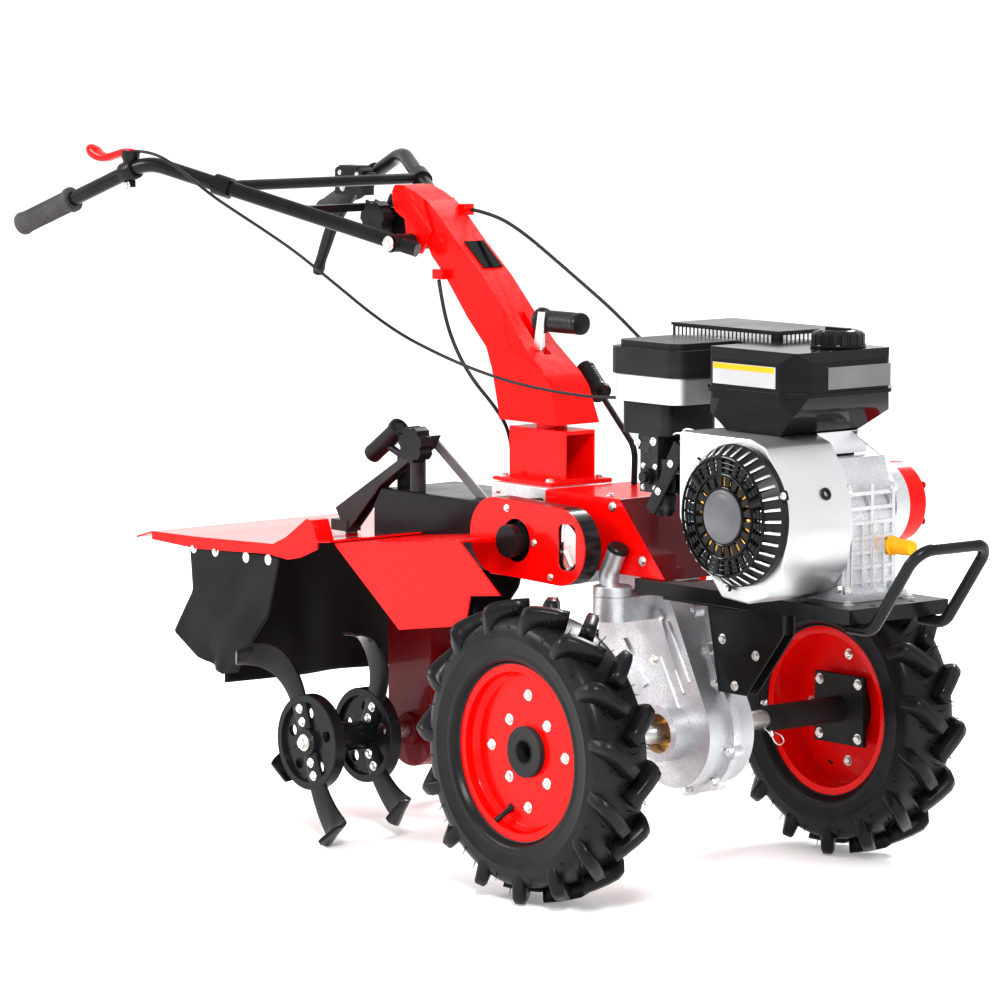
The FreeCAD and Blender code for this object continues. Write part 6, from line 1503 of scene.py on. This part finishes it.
# ------------------------------------------------------------------ settings
class TillerSizes(bpy.types.PropertyGroup):
    """The tiller's sizes and colours"""
    lugs: bpy.props.IntProperty(
        name="Lugs a side", description="Lugs on each half of a tyre's tread",
        default=15, min=8, max=24)
    louvres: bpy.props.IntProperty(
        name="Louvres", description="Bars round the recoil starter's opening",
        default=36, min=12, max=60)
    edge: bpy.props.FloatProperty(
        name="Edge rounding", description="Width of the solids' small edge bevels",
        default=0.0012, unit="LENGTH", subtype="DISTANCE")
    flap_thickness: bpy.props.FloatProperty(
        name="Flap thickness", description="Thickness of the rubber flaps",
        default=0.004, unit="LENGTH", subtype="DISTANCE")
    enamel: bpy.props.FloatVectorProperty(
        name="Enamel", description="Colour of the red enamel",
        default=(0.88, 0.003, 0.002), min=0, max=1, subtype="COLOR")
    deep_enamel: bpy.props.FloatVectorProperty(
        name="Deep enamel", description="Colour of the red enamel where it drifts darkest",
        default=(0.78, 0.003, 0.002), min=0, max=1, subtype="COLOR")


class TILLER_OT_finishes(bpy.types.Operator):
    """Makes every finish and puts it on the solids, with their edges softened"""
    bl_idname = "tiller.finishes"
    bl_label = "Finishes"

    def execute(self, context):
        sizes = context.scene.tiller
        FINISHES.update(make_finishes(tuple(sizes.enamel), tuple(sizes.deep_enamel)))
        TREES.update(ring=ring_tree(), bolts=bolt_tree(), crease=crease_tree())
        for node, slot in node_slots().items():
            solid = frame["nodes"][node]
            solid.data.materials.clear()
            solid.data.materials.append(FINISHES[OWN_FINISH.get(node, slot)])
            soften(solid, EDGES.get(node, sizes.edge))
        return {"FINISHED"}


class TILLER_OT_tyres(bpy.types.Operator):
    """Builds both lugged tyres"""
    bl_idname = "tiller.tyres"
    bl_label = "Tyres"

    def execute(self, context):
        for name, side in SIDES:
            dress_tyre(name, context.scene.tiller.lugs)
        return {"FINISHED"}


class TILLER_OT_cables(bpy.types.Operator):
    """Lays the throttle, gear and engine cables"""
    bl_idname = "tiller.cables"
    bl_label = "Cables"

    def execute(self, context):
        bending_cable("throttle_line", THROTTLE_CABLE, 0.005, "throttle_cable")
        cable("gear_line", GEAR_CABLE, 0.006, "gear_cable")
        cable("engine_line", ENGINE_CABLE, 0.006, "engine_cable")
        return {"FINISHED"}


class TILLER_OT_hubs(bpy.types.Operator):
    """Adds the wheels' bolts, trim, valves and hub pins"""
    bl_idname = "tiller.hubs"
    bl_label = "Wheel hubs"

    def execute(self, context):
        for name, side in SIDES:
            dress_hub(name, side)
        return {"FINISHED"}


class TILLER_OT_flaps(bpy.types.Operator):
    """Hangs the rubber flaps from the hood"""
    bl_idname = "tiller.flaps"
    bl_label = "Rubber flaps"

    def execute(self, context):
        dress_flaps(context.scene.tiller.flap_thickness)
        return {"FINISHED"}


class TILLER_OT_controls(bpy.types.Operator):
    """Builds the grips and levers"""
    bl_idname = "tiller.controls"
    bl_label = "Grips and levers"

    def execute(self, context):
        dress_grips()
        dress_levers()
        return {"FINISHED"}


class TILLER_OT_reels(bpy.types.Operator):
    """Builds both tine reels"""
    bl_idname = "tiller.reels"
    bl_label = "Tine reels"

    def execute(self, context):
        dress_reels()
        return {"FINISHED"}


class TILLER_OT_engine(bpy.types.Operator):
    """Dresses the engine: starter grille, tank plates, carburettor parts and bolts"""
    bl_idname = "tiller.engine"
    bl_label = "Engine"

    def execute(self, context):
        dress_starter(context.scene.tiller.louvres)
        dress_tank()
        dress_guard()
        dress_crankcase()
        dress_carburettor()
        dress_dipstick()
        return {"FINISHED"}


class TILLER_OT_chassis(bpy.types.Operator):
    """Adds the chassis bolts, seals, plug, front pulley and belt"""
    bl_idname = "tiller.chassis"
    bl_label = "Chassis"

    def execute(self, context):
        dress_chassis()
        return {"FINISHED"}


# The camera's turn to the right and tip down in degrees, its distance, its focal length in
# millimetres and how far its aim lies left of and above a point over the wheel axle.
VIEW_TURN, VIEW_TIP, VIEW_DISTANCE, VIEW_LENS = 50.17, 6.57, 7.744, 180.04
AIM_HEIGHT, AIM_LEFT, AIM_UP = 0.5, 0.3014, 0.0892
# Soft lamps: name, place, size and power.
LAMPS = (("key", (4.2, -3.2, 4.6), 1.3, 260.0), ("fill", (-3.6, -4.4, 3.2), 1.6, 130.0),
         ("rim", (-2.0, 4.2, 4.0), 1.2, 150.0))
FLOOR_HALF, FLOOR_GLOW, AIR_LIGHT = 30, 0.22, 0.85
WHITE = (1.0, 1.0, 1.0, 1.0)


def lay_floor(scene):
    """A wide pale floor."""
    half = FLOOR_HALF
    mesh = bpy.data.meshes.new("studio_floor")
    mesh.from_pydata([(-half, -half, 0), (half, -half, 0), (half, half, 0), (-half, half, 0)],
                     [], [(0, 1, 2, 3)])
    floor = bpy.data.objects.new("studio_floor", mesh)
    scene.collection.objects.link(floor)
    paper = Finish("studio_paper", Emission_Color=WHITE, Emission_Strength=FLOOR_GLOW)
    tone = paper.noise(0.4, 2.0)
    mesh.materials.append(paper.out(Base_Color=paper.mix(tone, (0.9, 0.9, 0.9), (0.93, 0.93, 0.93)),
                                    Roughness=paper.fit(tone, 0.0, 1.0, 0.85, 0.95)))


def hang_lamps(scene):
    """The pale surroundings and three soft lamps."""
    world = bpy.data.worlds.new("studio_air")
    world.use_nodes = True
    air = world.node_tree.nodes["Background"]
    air.inputs["Color"].default_value = WHITE
    air.inputs["Strength"].default_value = AIR_LIGHT
    scene.view_settings.view_transform = "Standard"
    scene.view_settings.look = "Medium High Contrast"
    scene.world = world
    for name, place, size, power in LAMPS:
        lamp = bpy.data.lights.new(name, "AREA")
        lamp.size = size
        lamp.energy = power
        light = bpy.data.objects.new(name, lamp)
        light.location = place
        light.rotation_euler = (Vector((0, 0, 0.4)) - Vector(place)).to_track_quat("-Z", "Y").to_euler()
        scene.collection.objects.link(light)


def set_camera(scene):
    """The camera ahead of the tiller on its right side, a little above it."""
    turn, tip = math.radians(VIEW_TURN), math.radians(VIEW_TIP)
    back = Vector((math.sin(turn) * math.cos(tip), -math.cos(turn) * math.cos(tip), math.sin(tip)))
    right = Vector((math.cos(turn), math.sin(turn), 0))
    target = Vector((AXLE_X, 0, AIM_HEIGHT)) - right * AIM_LEFT + back.cross(right) * AIM_UP
    lens = bpy.data.cameras.new("camera")
    lens.lens = VIEW_LENS
    lens.sensor_width = 36.0
    lens.clip_end = 60.0
    camera = bpy.data.objects.new("camera", lens)
    camera.rotation_mode = "QUATERNION"
    camera.location = target + back * VIEW_DISTANCE
    camera.rotation_quaternion = (-back).to_track_quat("-Z", "Y")
    scene.collection.objects.link(camera)
    bpy.context.scene.camera = camera


class TILLER_OT_stage(bpy.types.Operator):
    """Sets the pale floor, the soft lights and the camera"""
    bl_idname = "tiller.stage"
    bl_label = "Studio"

    def execute(self, context):
        lay_floor(context.scene)
        hang_lamps(context.scene)
        set_camera(context.scene)
        return {"FINISHED"}


class TILLER_PT_panel(bpy.types.Panel):
    """Lists the tiller's sizes and the steps that build it"""
    bl_label = "Rotary tiller"
    bl_space_type = "VIEW_3D"
    bl_region_type = "UI"
    bl_category = "Tiller"

    def draw(self, context):
        for size in ("lugs", "louvres", "edge", "flap_thickness", "enamel", "deep_enamel"):
            self.layout.prop(context.scene.tiller, size)
        for operator in OPERATORS:
            self.layout.operator(operator.bl_idname)


OPERATORS = (TILLER_OT_finishes, TILLER_OT_cables, TILLER_OT_tyres, TILLER_OT_hubs, TILLER_OT_flaps,
             TILLER_OT_controls, TILLER_OT_reels, TILLER_OT_engine, TILLER_OT_chassis, TILLER_OT_stage)


def register():
    for kind in (TillerSizes, *OPERATORS, TILLER_PT_panel):
        bpy.utils.register_class(kind)
    bpy.types.Scene.tiller = bpy.props.PointerProperty(type=TillerSizes)


def unregister():
    del bpy.types.Scene.tiller
    for kind in reversed((TillerSizes, *OPERATORS, TILLER_PT_panel)):
        bpy.utils.unregister_class(kind)


def main():
    register()
    bpy.ops.tiller.finishes()
    bpy.ops.tiller.cables()
    bpy.ops.tiller.tyres()
    bpy.ops.tiller.hubs()
    bpy.ops.tiller.flaps()
    bpy.ops.tiller.controls()
    bpy.ops.tiller.reels()
    bpy.ops.tiller.engine()
    bpy.ops.tiller.chassis()
    bpy.ops.tiller.stage()


if __name__ == "__main__":
    main()
